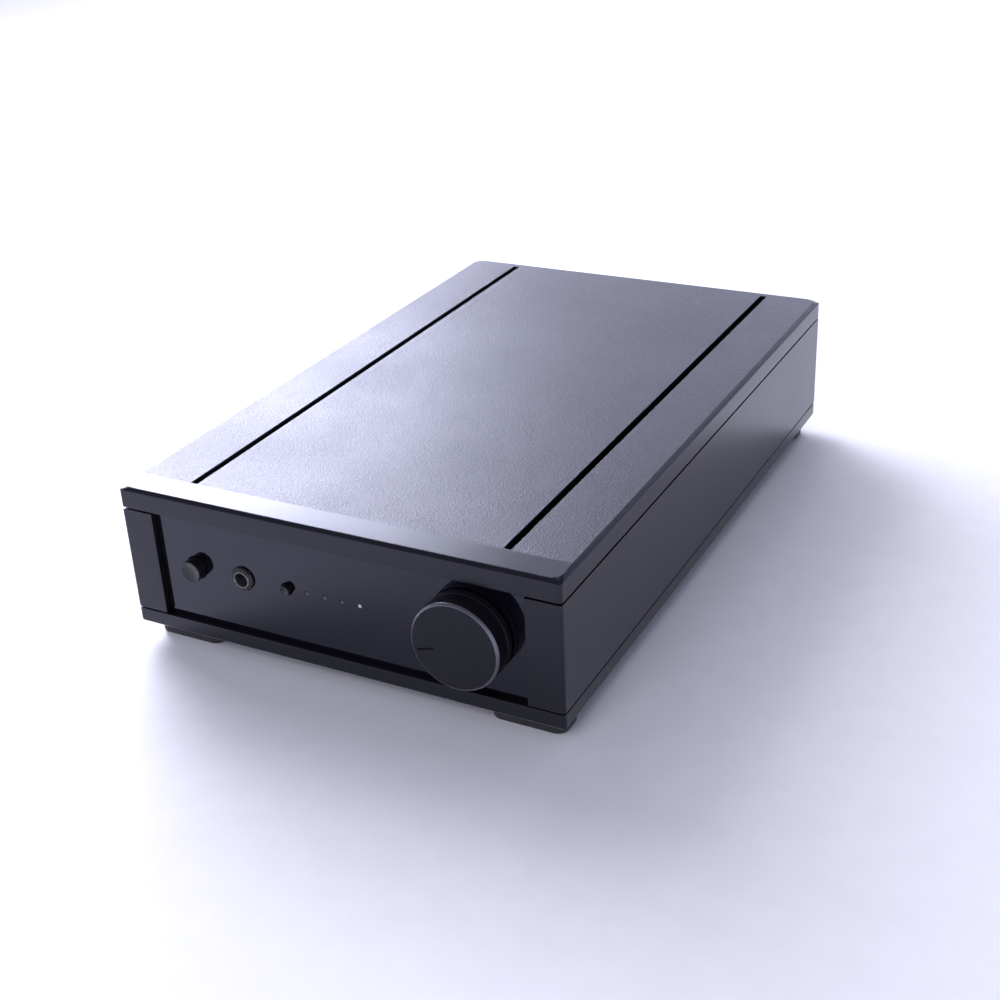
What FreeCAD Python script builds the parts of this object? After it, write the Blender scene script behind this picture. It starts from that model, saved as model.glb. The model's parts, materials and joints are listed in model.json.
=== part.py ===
import FreeCAD, Part
import math
import os

# Headphone amplifier, half width. Millimetres. +Z is up and the controls face -Y.
# The origin is on the surface that the feet stand on, under the middle of the whole length.

V = FreeCAD.Vector
X_AXIS = V(1, 0, 0)
Y_AXIS = V(0, 1, 0)
Z_AXIS = V(0, 0, 1)
TINY = 1e-6

# Case
CASE_WIDTH = 216.0
CASE_LENGTH = 337.0
CASE_HEIGHT = 69.4
CORNER_RADIUS = 1.8
BASE_RIM_HEIGHT = 7.2
LID_RIM_HEIGHT = 7.9
SEAM = 0.8
LEAF_WALL = 3.0
TONGUE_WALL = 2.6
FLOOR = 2.5
BASE_CHAMFER = 0.8
SHEET = 1.5
FIT = 0.2
SOFT_EDGE = 0.4
VENT_LENGTH = 22.0
VENT_WIDTH = 3.0
VENT_PITCH = 9.0
VENT_COUNT = 6

# Lid
LID_SKIN = 2.4
LID_CHAMFER = 1.8
LID_TOP_RADIUS = 6.0
BAND_DEPTH = 14.5
BAND_DROP = 0.35
SLOT_WIDTH = 3.6
SLOT_INSET = 30.6
SLOT_FRONT_MARGIN = 15.0
SLOT_REAR_MARGIN = 6.0
SLOT_CHAMFER = 0.4
RIB_COUNT = 3
RIB_THICKNESS = 3.0
RIB_DEPTH = 4.0
RIB_SADDLE = 2.2
BOSS_RADIUS = 4.0
BOSS_LENGTH = 8.0
BOSS_ROOF = 2.0
BOSS_END_MARGIN = 32.0

# Feet
FOOT_HEIGHT = 8.6
FOOT_WIDTH = 34.5
FOOT_LENGTH = 16.0
FOOT_CORNER = 5.0
FOOT_EDGE = 0.8
FOOT_SIDE_INSET = 4.0
FOOT_END_INSET = 7.0
FOOT_RECESS_RADIUS = 4.4
FOOT_RECESS_DEPTH = 4.5

# Front
CHEEK_WIDTH = 16.5
RECESS = 3.0
PANEL_THICKNESS = 3.0
PANEL_SIDE_GAP = 1.3
PANEL_SEAT = 0.5
CONTROL_HEIGHT = 34.2
BUTTON_CLEARANCE = 0.4
SUBPANEL_TOE = 8.0

# Volume control
KNOB_INSET = 25.8
KNOB_DIAMETER = 40.4
KNOB_REACH = 13.0
KNOB_GAP = 0.8
KNOB_CHAMFER = 0.9
KNOB_WALL = 2.8
KNOB_FACE_WALL = 3.0
KNOB_NUT_ROOM = 4.0
KNOB_HOLLOW = 8.0
KNOB_HUB_RADIUS = 8.0
POINTER_ANGLE = 195.0
POINTER_INNER = 10.0
POINTER_OUTER = 17.5
POINTER_WIDTH = 1.1
POINTER_DEPTH = 0.5
POINTER_SUNK = 0.12
SHAFT_RADIUS = 3.0
SHAFT_FIT = 0.05
GRUB_RADIUS = 1.5
GRUB_LENGTH = 4.0
GRUB_MARGIN = 0.6
GRUB_SOCKET_RADIUS = 0.75
POT_SIZE = 24.0
POT_DEPTH = 20.0
POT_BUSH_RADIUS = 4.5
POT_BUSH_OUT = 3.4
POT_NUT_FLATS = 12.0
POT_NUT_THICKNESS = 2.2
POT_BORE_DEPTH = 12.0
POT_CHAMFER = 1.5
POT_TERMINAL_PITCH = 5.0
POT_TERMINAL_ROWS = (7.0, 14.0)

# Push buttons, headphone socket and lamps, from the panel's left edge to the right
POWER_INSET = 17.7
POWER_RADIUS = 5.2
POWER_REACH = 5.1
POWER_TRAVEL = 3.0
POWER_DISH = 0.9
POWER_BUTTON_DEPTH = 5.0
POWER_PLUNGER = 4.0
PLUNGER_GAP = 0.3
PLUNGER_ENGAGED = 6.0
END_ROOM = 1.0
POWER_SWITCH_SIZE = 13.0
POWER_SWITCH_LENGTH = 22.0
POWER_SWITCH_SETBACK = 14.0
BRACKET_TOE = 12.0
DISH_LIP = 0.7
DISH_EDGE = 0.3
SOCKET_SPACING = 25.1
SOCKET_BORE = 3.2
SOCKET_BUSH_RADIUS = 4.3
SOCKET_BUSH_OUT = 1.9
SOCKET_NUT_RADIUS = 5.8
SOCKET_NUT_THICKNESS = 1.5
SOCKET_BODY_SIZE = 15.0
SOCKET_BODY_LENGTH = 26.0
SOCKET_DEPTH = 22.0
SELECTOR_SPACING = 23.0
SELECTOR_RADIUS = 2.6
SELECTOR_REACH = 2.7
SELECTOR_TRAVEL = 1.0
SELECTOR_DISH = 0.4
SELECTOR_CAP_DEPTH = 2.0
SELECTOR_STEM_RADIUS = 1.7
SELECTOR_SWITCH_SIZE = 6.4
SELECTOR_SWITCH_DEPTH = 4.5
SELECTOR_SWITCH_FLOOR = 1.0
LAMP_SPACING = 10.4
LAMP_PITCH = 8.8
LAMP_COUNT = 4
LAMP_RADIUS = 1.1
LAMP_FIT = 0.1
LAMP_BODY_RADIUS = 1.9
LAMP_NECK = 0.6
FRONT_BOARD_SETBACK = 9.0
FRONT_BOARD_HEIGHT = 30.0
FRONT_BOARD_MARGIN = 9.0
FRONT_BOARD_HOLE_INSET = 4.0
BOARD = 1.6

# Rear
REAR_RECESS = 3.0
PORT_DEPTH = 5.0
PORT_HEIGHT = 6.5
PORT_LOW = 15.0
PORT_HIGH = 56.0
PORT_HOLE_DEPTH = 12.0
REAR_SCREW_LENGTH = 10.0
INLET_INSET = 32.4
INLET_HEIGHT = 34.6
INLET_FLANGE_WIDTH = 50.0
INLET_FLANGE_HEIGHT = 34.0
INLET_FLANGE = 3.0
INLET_FLANGE_CORNER = 4.0
INLET_BODY_WIDTH = 28.0
INLET_BODY_HEIGHT = 31.0
INLET_BODY_DEPTH = 21.0
INLET_WALL = 1.5
INLET_CAVITY_WIDTH = 24.4
INLET_CAVITY_HEIGHT = 16.6
INLET_CAVITY_DEPTH = 17.0
INLET_CAVITY_CORNER = 3.4
INLET_PIN_SPACING = 7.0
INLET_PIN_WIDTH = 2.0
INLET_PIN_HEIGHT = 4.0
INLET_PIN_CHAMFER = 0.6
INLET_PIN_OFFSET = 2.0
INLET_PIN_LENGTH = 14.5
INLET_SCREW_SPACING = 20.0
DRAWER_GAP = 0.3
DRAWER_DEPTH = 17.0
DRAWER_LIP = 1.6
DRAWER_LIP_OVERLAP = 1.0
DRAWER_NOTCH_RADIUS = 5.0
DRAWER_NOTCH_DEPTH = 1.4
DRAWER_NOTCH_HEIGHT = 3.6
DRAWER_WALL = 2.0
FUSE_RADIUS = 2.6
FUSE_LENGTH = 20.0
LINE_PAIRS = 5
LINE_PITCH = 24.0
LINE_INSET = 22.0
LINE_LOW = 25.0
LINE_HIGH = 43.0
LINE_SLEEVE_RADIUS = 4.15
LINE_FOOT_RADIUS = 3.8
LINE_SLEEVE_BORE = 3.5
LINE_SLEEVE_REACH = 12.0
LINE_CORE_SUNK = 1.0
LINE_RING_RADIUS = 5.7
LINE_RING_THICKNESS = 1.3
LINE_PIN_RADIUS = 1.6
LINE_HOUSING_WIDTH = 14.0
LINE_HOUSING_DEPTH = 15.0

# Inside
STANDOFF_HEIGHT = 8.0
STANDOFF_RADIUS = 2.8
BOARD_EDGE_GAP = 4.0
BOSS_GAP = 1.0
BOARD_HOLE_MARGIN = 6.0
BOARD_SCREW_REST = 2.0
TOROID_RADIUS = 47.5
TOROID_BORE = 16.0
TOROID_HEIGHT = 36.0
TOROID_EDGE = 9.0
TOROID_SETBACK = 52.0
TOROID_WALL_GAP = 2.0
PAD = 2.0
DISH_RADIUS = 26.0
DISH_THICKNESS = 2.5
BOLT_RADIUS = 3.0
BOLT_HEAD_RADIUS = 5.0
BOLT_HEAD = 3.0
BOLT_NUT_FLATS = 10.0
BOLT_NUT = 5.0
BOLT_END = 2.0
RIBBON_LANE = 22.0
RIBBON_WIDTH = 15.0
RIBBON_THICKNESS = 0.9
RIBBON_BEND = 5.0
RIBBON_FLOOR_GAP = 2.0
RIBBON_DROP = 10.0
RIBBON_RISE = 8.0
HEADER_MARGIN = 1.5
HEADER_LENGTH = 6.0
HEADER_HEIGHT = 5.0
BOARD_LANE = 24.0
CAN_COUNT = 3
CAN_RADIUS = 11.0
CAN_HEIGHT = 36.0
CAN_GAP = 3.0
CAN_EDGE = 2.0
CAN_ROUND = 1.2
SMALL_CAN_COUNT = 8
SMALL_CAN_RADIUS = 4.0
SMALL_CAN_HEIGHT = 12.0
SMALL_CAN_MARGIN = 16.0
SMALL_CAN_ROUND = 0.6
RECTIFIER_SIZE = 15.0
RECTIFIER_HEIGHT = 6.0
RECTIFIER_INSET = (4.0, 60.0)
SINK_HEIGHT = 34.0
SINK_FINS = 15
SINK_MARGIN = 12.0
SINK_SETBACK = 26.0
SINK_BAR = 3.0
SINK_REACH = 8.0
FIN_THICKNESS = 2.0
TRANSISTOR_COUNT = 4
TRANSISTOR_WIDTH = 10.0
TRANSISTOR_HEIGHT = 15.0
TRANSISTOR_DEPTH = 4.4
LEG_WIDTH = 0.8
LEG_THICKNESS = 0.6
LEG_PITCH = 2.5
LEG_LENGTH = 6.0
RELAY_WIDTH = 10.0
RELAY_LENGTH = 20.0
RELAY_HEIGHT = 11.0
RELAY_SETBACK = 8.0
WIRE_RADIUS = 2.0
LEAD_STUB = 13.0
LEAD_SWEEP = 40.0

# Screws
SCREW_RADIUS = 1.5
SCREW_HEAD_RADIUS = 2.8
SCREW_HEAD = 1.9
SCREW_HEAD_ROUND = 0.6
SCREW_JOIN = 0.1
FOOT_SCREW_RADIUS = 1.9
FOOT_SCREW_HEAD_RADIUS = 3.8
DRIVE_WIDTH = 0.8
DRIVE_DEPTH = 1.0
DRIVE_SPAN = 1.2

# Levels, worked out from the sizes above
HALF_WIDTH = CASE_WIDTH / 2
LEAF_X = HALF_WIDTH - LEAF_WALL
INNER_X = LEAF_X - TONGUE_WALL
PORT_X = INNER_X - PORT_DEPTH
CHEEK_X = HALF_WIDTH - CHEEK_WIDTH
PANEL_X = CHEEK_X - PANEL_SIDE_GAP
RIM_WALL = LEAF_WALL - FIT
RIM_X = HALF_WIDTH - RIM_WALL

BASE_Z = FOOT_HEIGHT
FLOOR_Z = BASE_Z + FLOOR
BASE_RIM_Z = BASE_Z + BASE_RIM_HEIGHT
TOP_Z = BASE_Z + CASE_HEIGHT
LID_RIM_Z = TOP_Z - LID_RIM_HEIGHT
CEILING_Z = TOP_Z - LID_SKIN
CONTROL_Z = BASE_Z + CONTROL_HEIGHT
BOARD_Z = FLOOR_Z + STANDOFF_HEIGHT
BOARD_TOP_Z = BOARD_Z + BOARD

KNOB_OUT = KNOB_REACH - RECESS
LINE_OUT = LINE_SLEEVE_REACH - REAR_RECESS
FRONT_Y = (KNOB_OUT - LINE_OUT - CASE_LENGTH) / 2
BACK_Y = FRONT_Y + CASE_LENGTH
PANEL_Y = FRONT_Y + RECESS
SUBPANEL_Y = PANEL_Y + PANEL_THICKNESS
INNER_FRONT_Y = SUBPANEL_Y + SHEET
REAR_PANEL_Y = BACK_Y - REAR_RECESS
INNER_BACK_Y = REAR_PANEL_Y - SHEET
FRONT_BOARD_Y = INNER_FRONT_Y + FRONT_BOARD_SETBACK

POWER_X = -PANEL_X + POWER_INSET
SOCKET_X = POWER_X + SOCKET_SPACING
SELECTOR_X = SOCKET_X + SELECTOR_SPACING
LAMP_XS = [SELECTOR_X + LAMP_SPACING + i * LAMP_PITCH for i in range(LAMP_COUNT)]
KNOB_X = PANEL_X - KNOB_INSET

INLET_X = -INNER_X + INLET_INSET
INLET_Z = BASE_Z + INLET_HEIGHT
INLET_FACE_Y = REAR_PANEL_Y + INLET_FLANGE
CAVITY_TOP_Z = INLET_Z + INLET_BODY_HEIGHT / 2 - INLET_WALL
CAVITY_FOOT_Z = CAVITY_TOP_Z - INLET_CAVITY_HEIGHT
CAVITY_Z = (CAVITY_TOP_Z + CAVITY_FOOT_Z) / 2
BAY_TOP_Z = CAVITY_FOOT_Z - INLET_WALL
BAY_FOOT_Z = INLET_Z - INLET_BODY_HEIGHT / 2 + INLET_WALL
LINE_XS = [INNER_X - LINE_INSET - i * LINE_PITCH for i in range(LINE_PAIRS)]
LINE_LOW_Z = BASE_Z + LINE_LOW
LINE_HIGH_Z = BASE_Z + LINE_HIGH

BOSS_X = PORT_X - BOSS_RADIUS - 2 * FIT
BOSS_YS = [FRONT_Y + BOSS_END_MARGIN, BACK_Y - BOSS_END_MARGIN]
FOOT_X = HALF_WIDTH - FOOT_SIDE_INSET - FOOT_WIDTH / 2
FOOT_YS = [FRONT_Y + FOOT_END_INSET + FOOT_LENGTH / 2, BACK_Y - FOOT_END_INSET - FOOT_LENGTH / 2]

TOROID_X = -PORT_X + TOROID_WALL_GAP + TOROID_RADIUS
TOROID_Y = INNER_FRONT_Y + TOROID_SETBACK + TOROID_RADIUS
TOROID_Z = FLOOR_Z + PAD
RIBBON_X = TOROID_X + TOROID_RADIUS + RIBBON_LANE / 2
BOARD_RIGHT_X = BOSS_X - BOSS_RADIUS - BOSS_GAP
SUPPLY_BOARD = (TOROID_X + TOROID_RADIUS + RIBBON_LANE, BOARD_RIGHT_X,
                TOROID_Y - TOROID_RADIUS, TOROID_Y + TOROID_RADIUS)
MAIN_BOARD = (INLET_X + INLET_BODY_WIDTH / 2 + BOARD_EDGE_GAP, BOARD_RIGHT_X,
              TOROID_Y + TOROID_RADIUS + BOARD_LANE, INNER_BACK_Y - BOARD_EDGE_GAP)


# Shape helpers

def block(x0, x1, y0, y1, z0, z1):
    return Part.makeBox(x1 - x0, y1 - y0, z1 - z0, V(x0, y0, z0))


def centred(x, width, y0, y1, z, height):
    return block(x - width / 2, x + width / 2, y0, y1, z - height / 2, z + height / 2)


def rod_y(radius, x, y0, y1, z):
    return Part.makeCylinder(radius, y1 - y0, V(x, y0, z), Y_AXIS)


def rod_z(radius, x, y, z0, z1):
    return Part.makeCylinder(radius, z1 - z0, V(x, y, z0), Z_AXIS)


def ring_y(outer, inner, x, y0, y1, z):
    return rod_y(outer, x, y0, y1, z).cut(rod_y(inner, x, y0, y1, z))


def ring_z(outer, inner, x, y, z0, z1):
    return rod_z(outer, x, y, z0, z1).cut(rod_z(inner, x, y, z0, z1))


def rounded_outline(x0, x1, y0, y1, radius, z):
    """A closed rectangle with round corners, drawn anticlockwise at height z."""
    edges = []
    corners = [(x1 - radius, y0 + radius, -90), (x1 - radius, y1 - radius, 0),
               (x0 + radius, y1 - radius, 90), (x0 + radius, y0 + radius, 180)]
    last = None
    for cx, cy, start in corners:
        points = []
        for turn in (0, 45, 90):
            angle = math.radians(start + turn)
            points.append(V(cx + radius * math.cos(angle), cy + radius * math.sin(angle), z))
        if last is not None:
            edges.append(Part.LineSegment(last, points[0]).toShape())
        edges.append(Part.Arc(*points).toShape())
        last = points[2]
    edges.append(Part.LineSegment(last, edges[0].Vertexes[0].Point).toShape())
    return Part.Wire(edges)


def rounded_prism(x0, x1, y0, y1, radius, z0, z1):
    outline = rounded_outline(x0, x1, y0, y1, radius, z0)
    return Part.Face(outline).extrude(V(0, 0, z1 - z0))


def edges_at_z(shape, z):
    return [e for e in shape.Edges if abs(e.BoundBox.ZMin - z) + abs(e.BoundBox.ZMax - z) < TINY]


def edges_at_y(shape, y):
    return [e for e in shape.Edges if abs(e.BoundBox.YMin - y) + abs(e.BoundBox.YMax - y) < TINY]


def hexagon(flats, thickness):
    """A hexagonal plate on the origin, standing up along Z, this wide across its flats."""
    corner = flats / math.sqrt(3)
    angles = [math.radians(60 * i) for i in range(7)]
    outline = Part.makePolygon([V(corner * math.cos(a), corner * math.sin(a), 0) for a in angles])
    return Part.Face(outline).extrude(V(0, 0, thickness))


def fused(shapes):
    whole = shapes[0]
    if len(shapes) > 1:
        whole = whole.multiFuse(shapes[1:])
    return whole.removeSplitter()


def drilled(shape, cutters):
    return shape.cut(Part.makeCompound(cutters))


def group(shapes):
    return Part.makeCompound(shapes)


def cross_drive(x, y, z, axis, span):
    """A cross recess cut into a screw head at the given point, its depth along the axis."""
    cuts = []
    for first, second in ((span, DRIVE_WIDTH), (DRIVE_WIDTH, span)):
        if axis == "z":
            cuts.append(block(x - first / 2, x + first / 2, y - second / 2, y + second / 2,
                              z, z + DRIVE_DEPTH))
        else:
            cuts.append(centred(x, first, y - DRIVE_DEPTH, y, z, second))
    return fused(cuts)


def screw_from_below(x, y, head_z, top_z, radius, head_radius):
    """Pan head screw pointing up, with the underside of its head at head_z."""
    head = rod_z(head_radius, x, y, head_z - SCREW_HEAD, head_z)
    head = head.makeFillet(SCREW_HEAD_ROUND, edges_at_z(head, head_z - SCREW_HEAD))
    screw = fused([head, rod_z(radius, x, y, head_z - SCREW_JOIN, top_z)])
    return screw.cut(cross_drive(x, y, head_z - SCREW_HEAD, "z", head_radius * DRIVE_SPAN))


def screw_from_above(x, y, seat_z, foot_z):
    head = rod_z(SCREW_HEAD_RADIUS, x, y, seat_z, seat_z + SCREW_HEAD)
    head = head.makeFillet(SCREW_HEAD_ROUND, edges_at_z(head, seat_z + SCREW_HEAD))
    screw = fused([head, rod_z(SCREW_RADIUS, x, y, foot_z, seat_z + SCREW_JOIN)])
    drive = cross_drive(x, y, seat_z + SCREW_HEAD - DRIVE_DEPTH, "z", SCREW_HEAD_RADIUS * DRIVE_SPAN)
    return screw.cut(drive)


def screw_from_behind(x, z, seat_y, tip_y):
    head = rod_y(SCREW_HEAD_RADIUS, x, seat_y, seat_y + SCREW_HEAD, z)
    head = head.makeFillet(SCREW_HEAD_ROUND, edges_at_y(head, seat_y + SCREW_HEAD))
    screw = fused([head, rod_y(SCREW_RADIUS, x, tip_y, seat_y + SCREW_JOIN, z)])
    return screw.cut(cross_drive(x, seat_y + SCREW_HEAD, z, "y", SCREW_HEAD_RADIUS * DRIVE_SPAN))


def bent_wire(points, bend=math.inf):
    """Straight runs joined by arcs of this radius, or of the largest that the runs leave room for."""
    edges = []
    last = points[0]
    for before, corner, after in zip(points, points[1:], points[2:]):
        back = (before - corner).normalize()
        ahead = (after - corner).normalize()
        half_turn = (math.pi - back.getAngle(ahead)) / 2
        room = 0.45 * min((before - corner).Length, (after - corner).Length)
        setback = min(room, bend * math.tan(half_turn))
        radius = setback / math.tan(half_turn)
        crown = corner + (back + ahead).normalize() * (radius / math.cos(half_turn) - radius)
        start = corner + back * setback
        end = corner + ahead * setback
        edges.append(Part.LineSegment(last, start).toShape())
        edges.append(Part.Arc(start, crown, end).toShape())
        last = end
    edges.append(Part.LineSegment(last, points[-1]).toShape())
    return Part.Wire(edges)


def lead(points):
    direction = (points[1] - points[0]).normalize()
    profile = Part.Wire([Part.makeCircle(WIRE_RADIUS, points[0], direction)])
    return bent_wire(points).makePipeShell([profile], True, False)


# Case

def case_screw_points():
    return [(side * BOSS_X, y) for side in (-1, 1) for y in BOSS_YS]


def foot_points():
    return [(side * FOOT_X, y) for y in FOOT_YS for side in (-1, 1)]


def board_hole_points(outline):
    """Four holes near the corners, the rear two clear of the line sockets' housings."""
    x0, x1, y0, y1 = outline
    clear_y = INNER_BACK_Y - LINE_HOUSING_DEPTH - BOARD_HOLE_MARGIN
    return [(x, y) for x in (x0 + BOARD_HOLE_MARGIN, x1 - BOARD_HOLE_MARGIN)
            for y in (y0 + BOARD_HOLE_MARGIN, min(y1 - BOARD_HOLE_MARGIN, clear_y))]


def standoff_points():
    return board_hole_points(SUPPLY_BOARD) + board_hole_points(MAIN_BOARD)


def base_vents():
    """Two rows of narrow slots through the floor under the boards."""
    cuts = []
    for x0, x1, y0, y1 in (SUPPLY_BOARD, MAIN_BOARD):
        x = (x0 + x1 - VENT_LENGTH) / 2
        for i in range(VENT_COUNT):
            y = (y0 + y1 - VENT_WIDTH) / 2 + (i - (VENT_COUNT - 1) / 2) * VENT_PITCH
            cuts.append(block(x, x + VENT_LENGTH, y, y + VENT_WIDTH, BASE_Z, FLOOR_Z))
    return cuts


def base_tray():
    outer = rounded_prism(-HALF_WIDTH, HALF_WIDTH, FRONT_Y, BACK_Y, CORNER_RADIUS, BASE_Z, BASE_RIM_Z)
    outer = outer.makeChamfer(BASE_CHAMFER, edges_at_z(outer, BASE_Z))
    pocket = block(-RIM_X, RIM_X, FRONT_Y + RIM_WALL, BACK_Y - RIM_WALL, FLOOR_Z, BASE_RIM_Z)
    tray = outer.cut(pocket)
    holes = base_vents()
    for x, y in case_screw_points():
        holes.append(rod_z(SCREW_RADIUS + FIT, x, y, BASE_Z, FLOOR_Z))
    for x, y in foot_points():
        holes.append(rod_z(FOOT_SCREW_RADIUS, x, y, BASE_Z, FLOOR_Z))
    for x, y in standoff_points():
        holes.append(rod_z(SCREW_RADIUS, x, y, BASE_Z, FLOOR_Z))
    holes.append(rod_z(BOLT_RADIUS + FIT, TOROID_X, TOROID_Y, BASE_Z, FLOOR_Z))
    return drilled(tray, holes)


def side_wall(side):
    """One side: an outer leaf, a tongue behind both rims, two screw ports and the front cheek."""
    low = BASE_RIM_Z + SEAM
    high = LID_RIM_Z - SEAM
    leaf = rounded_prism(LEAF_X - CORNER_RADIUS, HALF_WIDTH, FRONT_Y, BACK_Y, CORNER_RADIUS, low, high)
    leaf = leaf.cut(block(0, LEAF_X, FRONT_Y, BACK_Y, low, high))
    cheek = block(CHEEK_X, LEAF_X, FRONT_Y, SUBPANEL_Y, low, high)
    free_edges = [e for e in edges_at_y(cheek, FRONT_Y) if e.BoundBox.XMax < (CHEEK_X + LEAF_X) / 2]
    cheek = cheek.makeChamfer(FIT, free_edges)
    tongue = block(INNER_X, LEAF_X, INNER_FRONT_Y, INNER_BACK_Y, FLOOR_Z, CEILING_Z)
    pieces = [leaf, cheek, tongue]
    holes = []
    for height in (PORT_LOW, PORT_HIGH):
        z = BASE_Z + height
        pieces.append(block(PORT_X, INNER_X, INNER_FRONT_Y, INNER_BACK_Y,
                            z - PORT_HEIGHT / 2, z + PORT_HEIGHT / 2))
        holes.append(rod_y(SCREW_RADIUS, (PORT_X + INNER_X) / 2, INNER_BACK_Y - PORT_HOLE_DEPTH,
                           INNER_BACK_Y, z))
    wall = drilled(fused(pieces), holes)
    if side < 0:
        wall = wall.mirror(V(0, 0, 0), X_AXIS)
    return wall


def lid():
    shoulder_z = TOP_Z - LID_CHAMFER
    skirt = rounded_prism(-HALF_WIDTH, HALF_WIDTH, FRONT_Y, BACK_Y, CORNER_RADIUS, LID_RIM_Z, shoulder_z)
    lower = rounded_outline(-HALF_WIDTH, HALF_WIDTH, FRONT_Y, BACK_Y, CORNER_RADIUS, shoulder_z)
    upper = rounded_outline(-HALF_WIDTH + LID_CHAMFER, HALF_WIDTH - LID_CHAMFER, FRONT_Y + LID_CHAMFER,
                            BACK_Y - LID_CHAMFER, LID_TOP_RADIUS, TOP_Z)
    crown = Part.makeLoft([lower, upper], True, True)
    pocket = block(-RIM_X, RIM_X, FRONT_Y + RIM_WALL, BACK_Y - RIM_WALL, LID_RIM_Z, CEILING_Z)
    shell = fused([skirt, crown]).cut(pocket)
    shell = shell.cut(front_band_wedge())
    ribs = []
    for i in range(RIB_COUNT):
        y = FRONT_Y + CASE_LENGTH * (i + 1) / (RIB_COUNT + 1)
        ribs.append(block(-INNER_X, INNER_X, y - RIB_THICKNESS / 2, y + RIB_THICKNESS / 2,
                          CEILING_Z - RIB_DEPTH, CEILING_Z))
    low = CEILING_Z - BOSS_LENGTH
    bosses = [rod_z(BOSS_RADIUS, x, y, low, CEILING_Z) for x, y in case_screw_points()]
    cuts = [lid_slot(side) for side in (-1, 1)]
    cuts += [rod_z(SCREW_RADIUS, x, y, low, CEILING_Z - BOSS_ROOF) for x, y in case_screw_points()]
    return drilled(fused([shell] + ribs + bosses), cuts)


def front_band_wedge():
    """What is taken off so that the front band falls slightly towards the front edge."""
    low = V(-HALF_WIDTH, FRONT_Y, TOP_Z - BAND_DROP)
    high = V(-HALF_WIDTH, FRONT_Y, TOP_Z)
    profile = Part.makePolygon([low, V(-HALF_WIDTH, FRONT_Y + BAND_DEPTH, TOP_Z), high, low])
    return Part.Face(profile).extrude(V(CASE_WIDTH, 0, 0))


def lid_slot(side):
    """One long vent slot with broken upper edges; the ribs dip where it crosses them."""
    x = side * (HALF_WIDTH - SLOT_INSET)
    half = SLOT_WIDTH / 2
    y0 = FRONT_Y + SLOT_FRONT_MARGIN
    y1 = BACK_Y - SLOT_REAR_MARGIN
    slot = block(x - half, x + half, y0, y1, CEILING_Z - RIB_SADDLE, TOP_Z)
    outer = half + SLOT_CHAMFER
    low = Part.makePolygon([V(x - half, y0, TOP_Z - SLOT_CHAMFER), V(x + half, y0, TOP_Z - SLOT_CHAMFER),
                            V(x + outer, y0, TOP_Z), V(x - outer, y0, TOP_Z),
                            V(x - half, y0, TOP_Z - SLOT_CHAMFER)])
    return slot.fuse(Part.Face(low).extrude(V(0, y1 - y0, 0)))


def foot(x, y):
    pad = rounded_prism(x - FOOT_WIDTH / 2, x + FOOT_WIDTH / 2, y - FOOT_LENGTH / 2, y + FOOT_LENGTH / 2,
                        FOOT_CORNER, 0, BASE_Z)
    pad = pad.makeFillet(FOOT_EDGE, edges_at_z(pad, 0))
    return drilled(pad, [rod_z(FOOT_SCREW_RADIUS, x, y, 0, BASE_Z),
                         rod_z(FOOT_RECESS_RADIUS, x, y, 0, FOOT_RECESS_DEPTH)])


def foot_screws():
    return group([screw_from_below(x, y, FOOT_RECESS_DEPTH, FLOOR_Z, FOOT_SCREW_RADIUS,
                                   FOOT_SCREW_HEAD_RADIUS) for x, y in foot_points()])


def case_screws():
    """Long screws from under the floor into the lid's bosses; they pull the whole case together."""
    top_z = CEILING_Z - BOSS_ROOF
    return group([screw_from_below(x, y, BASE_Z, top_z, SCREW_RADIUS, SCREW_HEAD_RADIUS)
                  for x, y in case_screw_points()])


# Front

def front_holes(y0, y1):
    """Openings for every control, shared by the panel and the sheet behind it."""
    cuts = [rod_y(POT_BUSH_RADIUS + FIT, KNOB_X, y0, y1, CONTROL_Z),
            rod_y(POWER_RADIUS + BUTTON_CLEARANCE, POWER_X, y0, y1, CONTROL_Z),
            rod_y(SOCKET_BUSH_RADIUS + FIT, SOCKET_X, y0, y1, CONTROL_Z),
            rod_y(SELECTOR_RADIUS + BUTTON_CLEARANCE, SELECTOR_X, y0, y1, CONTROL_Z)]
    cuts += [rod_y(LAMP_RADIUS + LAMP_FIT, x, y0, y1, CONTROL_Z) for x in LAMP_XS]
    return cuts


def front_panel():
    plate = block(-PANEL_X, PANEL_X, PANEL_Y, SUBPANEL_Y, FLOOR_Z + PANEL_SEAT, CEILING_Z - PANEL_SEAT)
    return drilled(plate, front_holes(PANEL_Y, SUBPANEL_Y))


def front_subpanel():
    """The sheet that carries the controls, with a toe that stands on the floor."""
    half = LEAF_X - FIT
    plate = block(-half, half, SUBPANEL_Y, INNER_FRONT_Y, FLOOR_Z, CEILING_Z)
    toe = block(SOCKET_X, -SOCKET_X, INNER_FRONT_Y, INNER_FRONT_Y + SUBPANEL_TOE,
                FLOOR_Z, FLOOR_Z + SHEET)
    return drilled(fused([plate, toe]), front_holes(SUBPANEL_Y, INNER_FRONT_Y))


# Volume control

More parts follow.
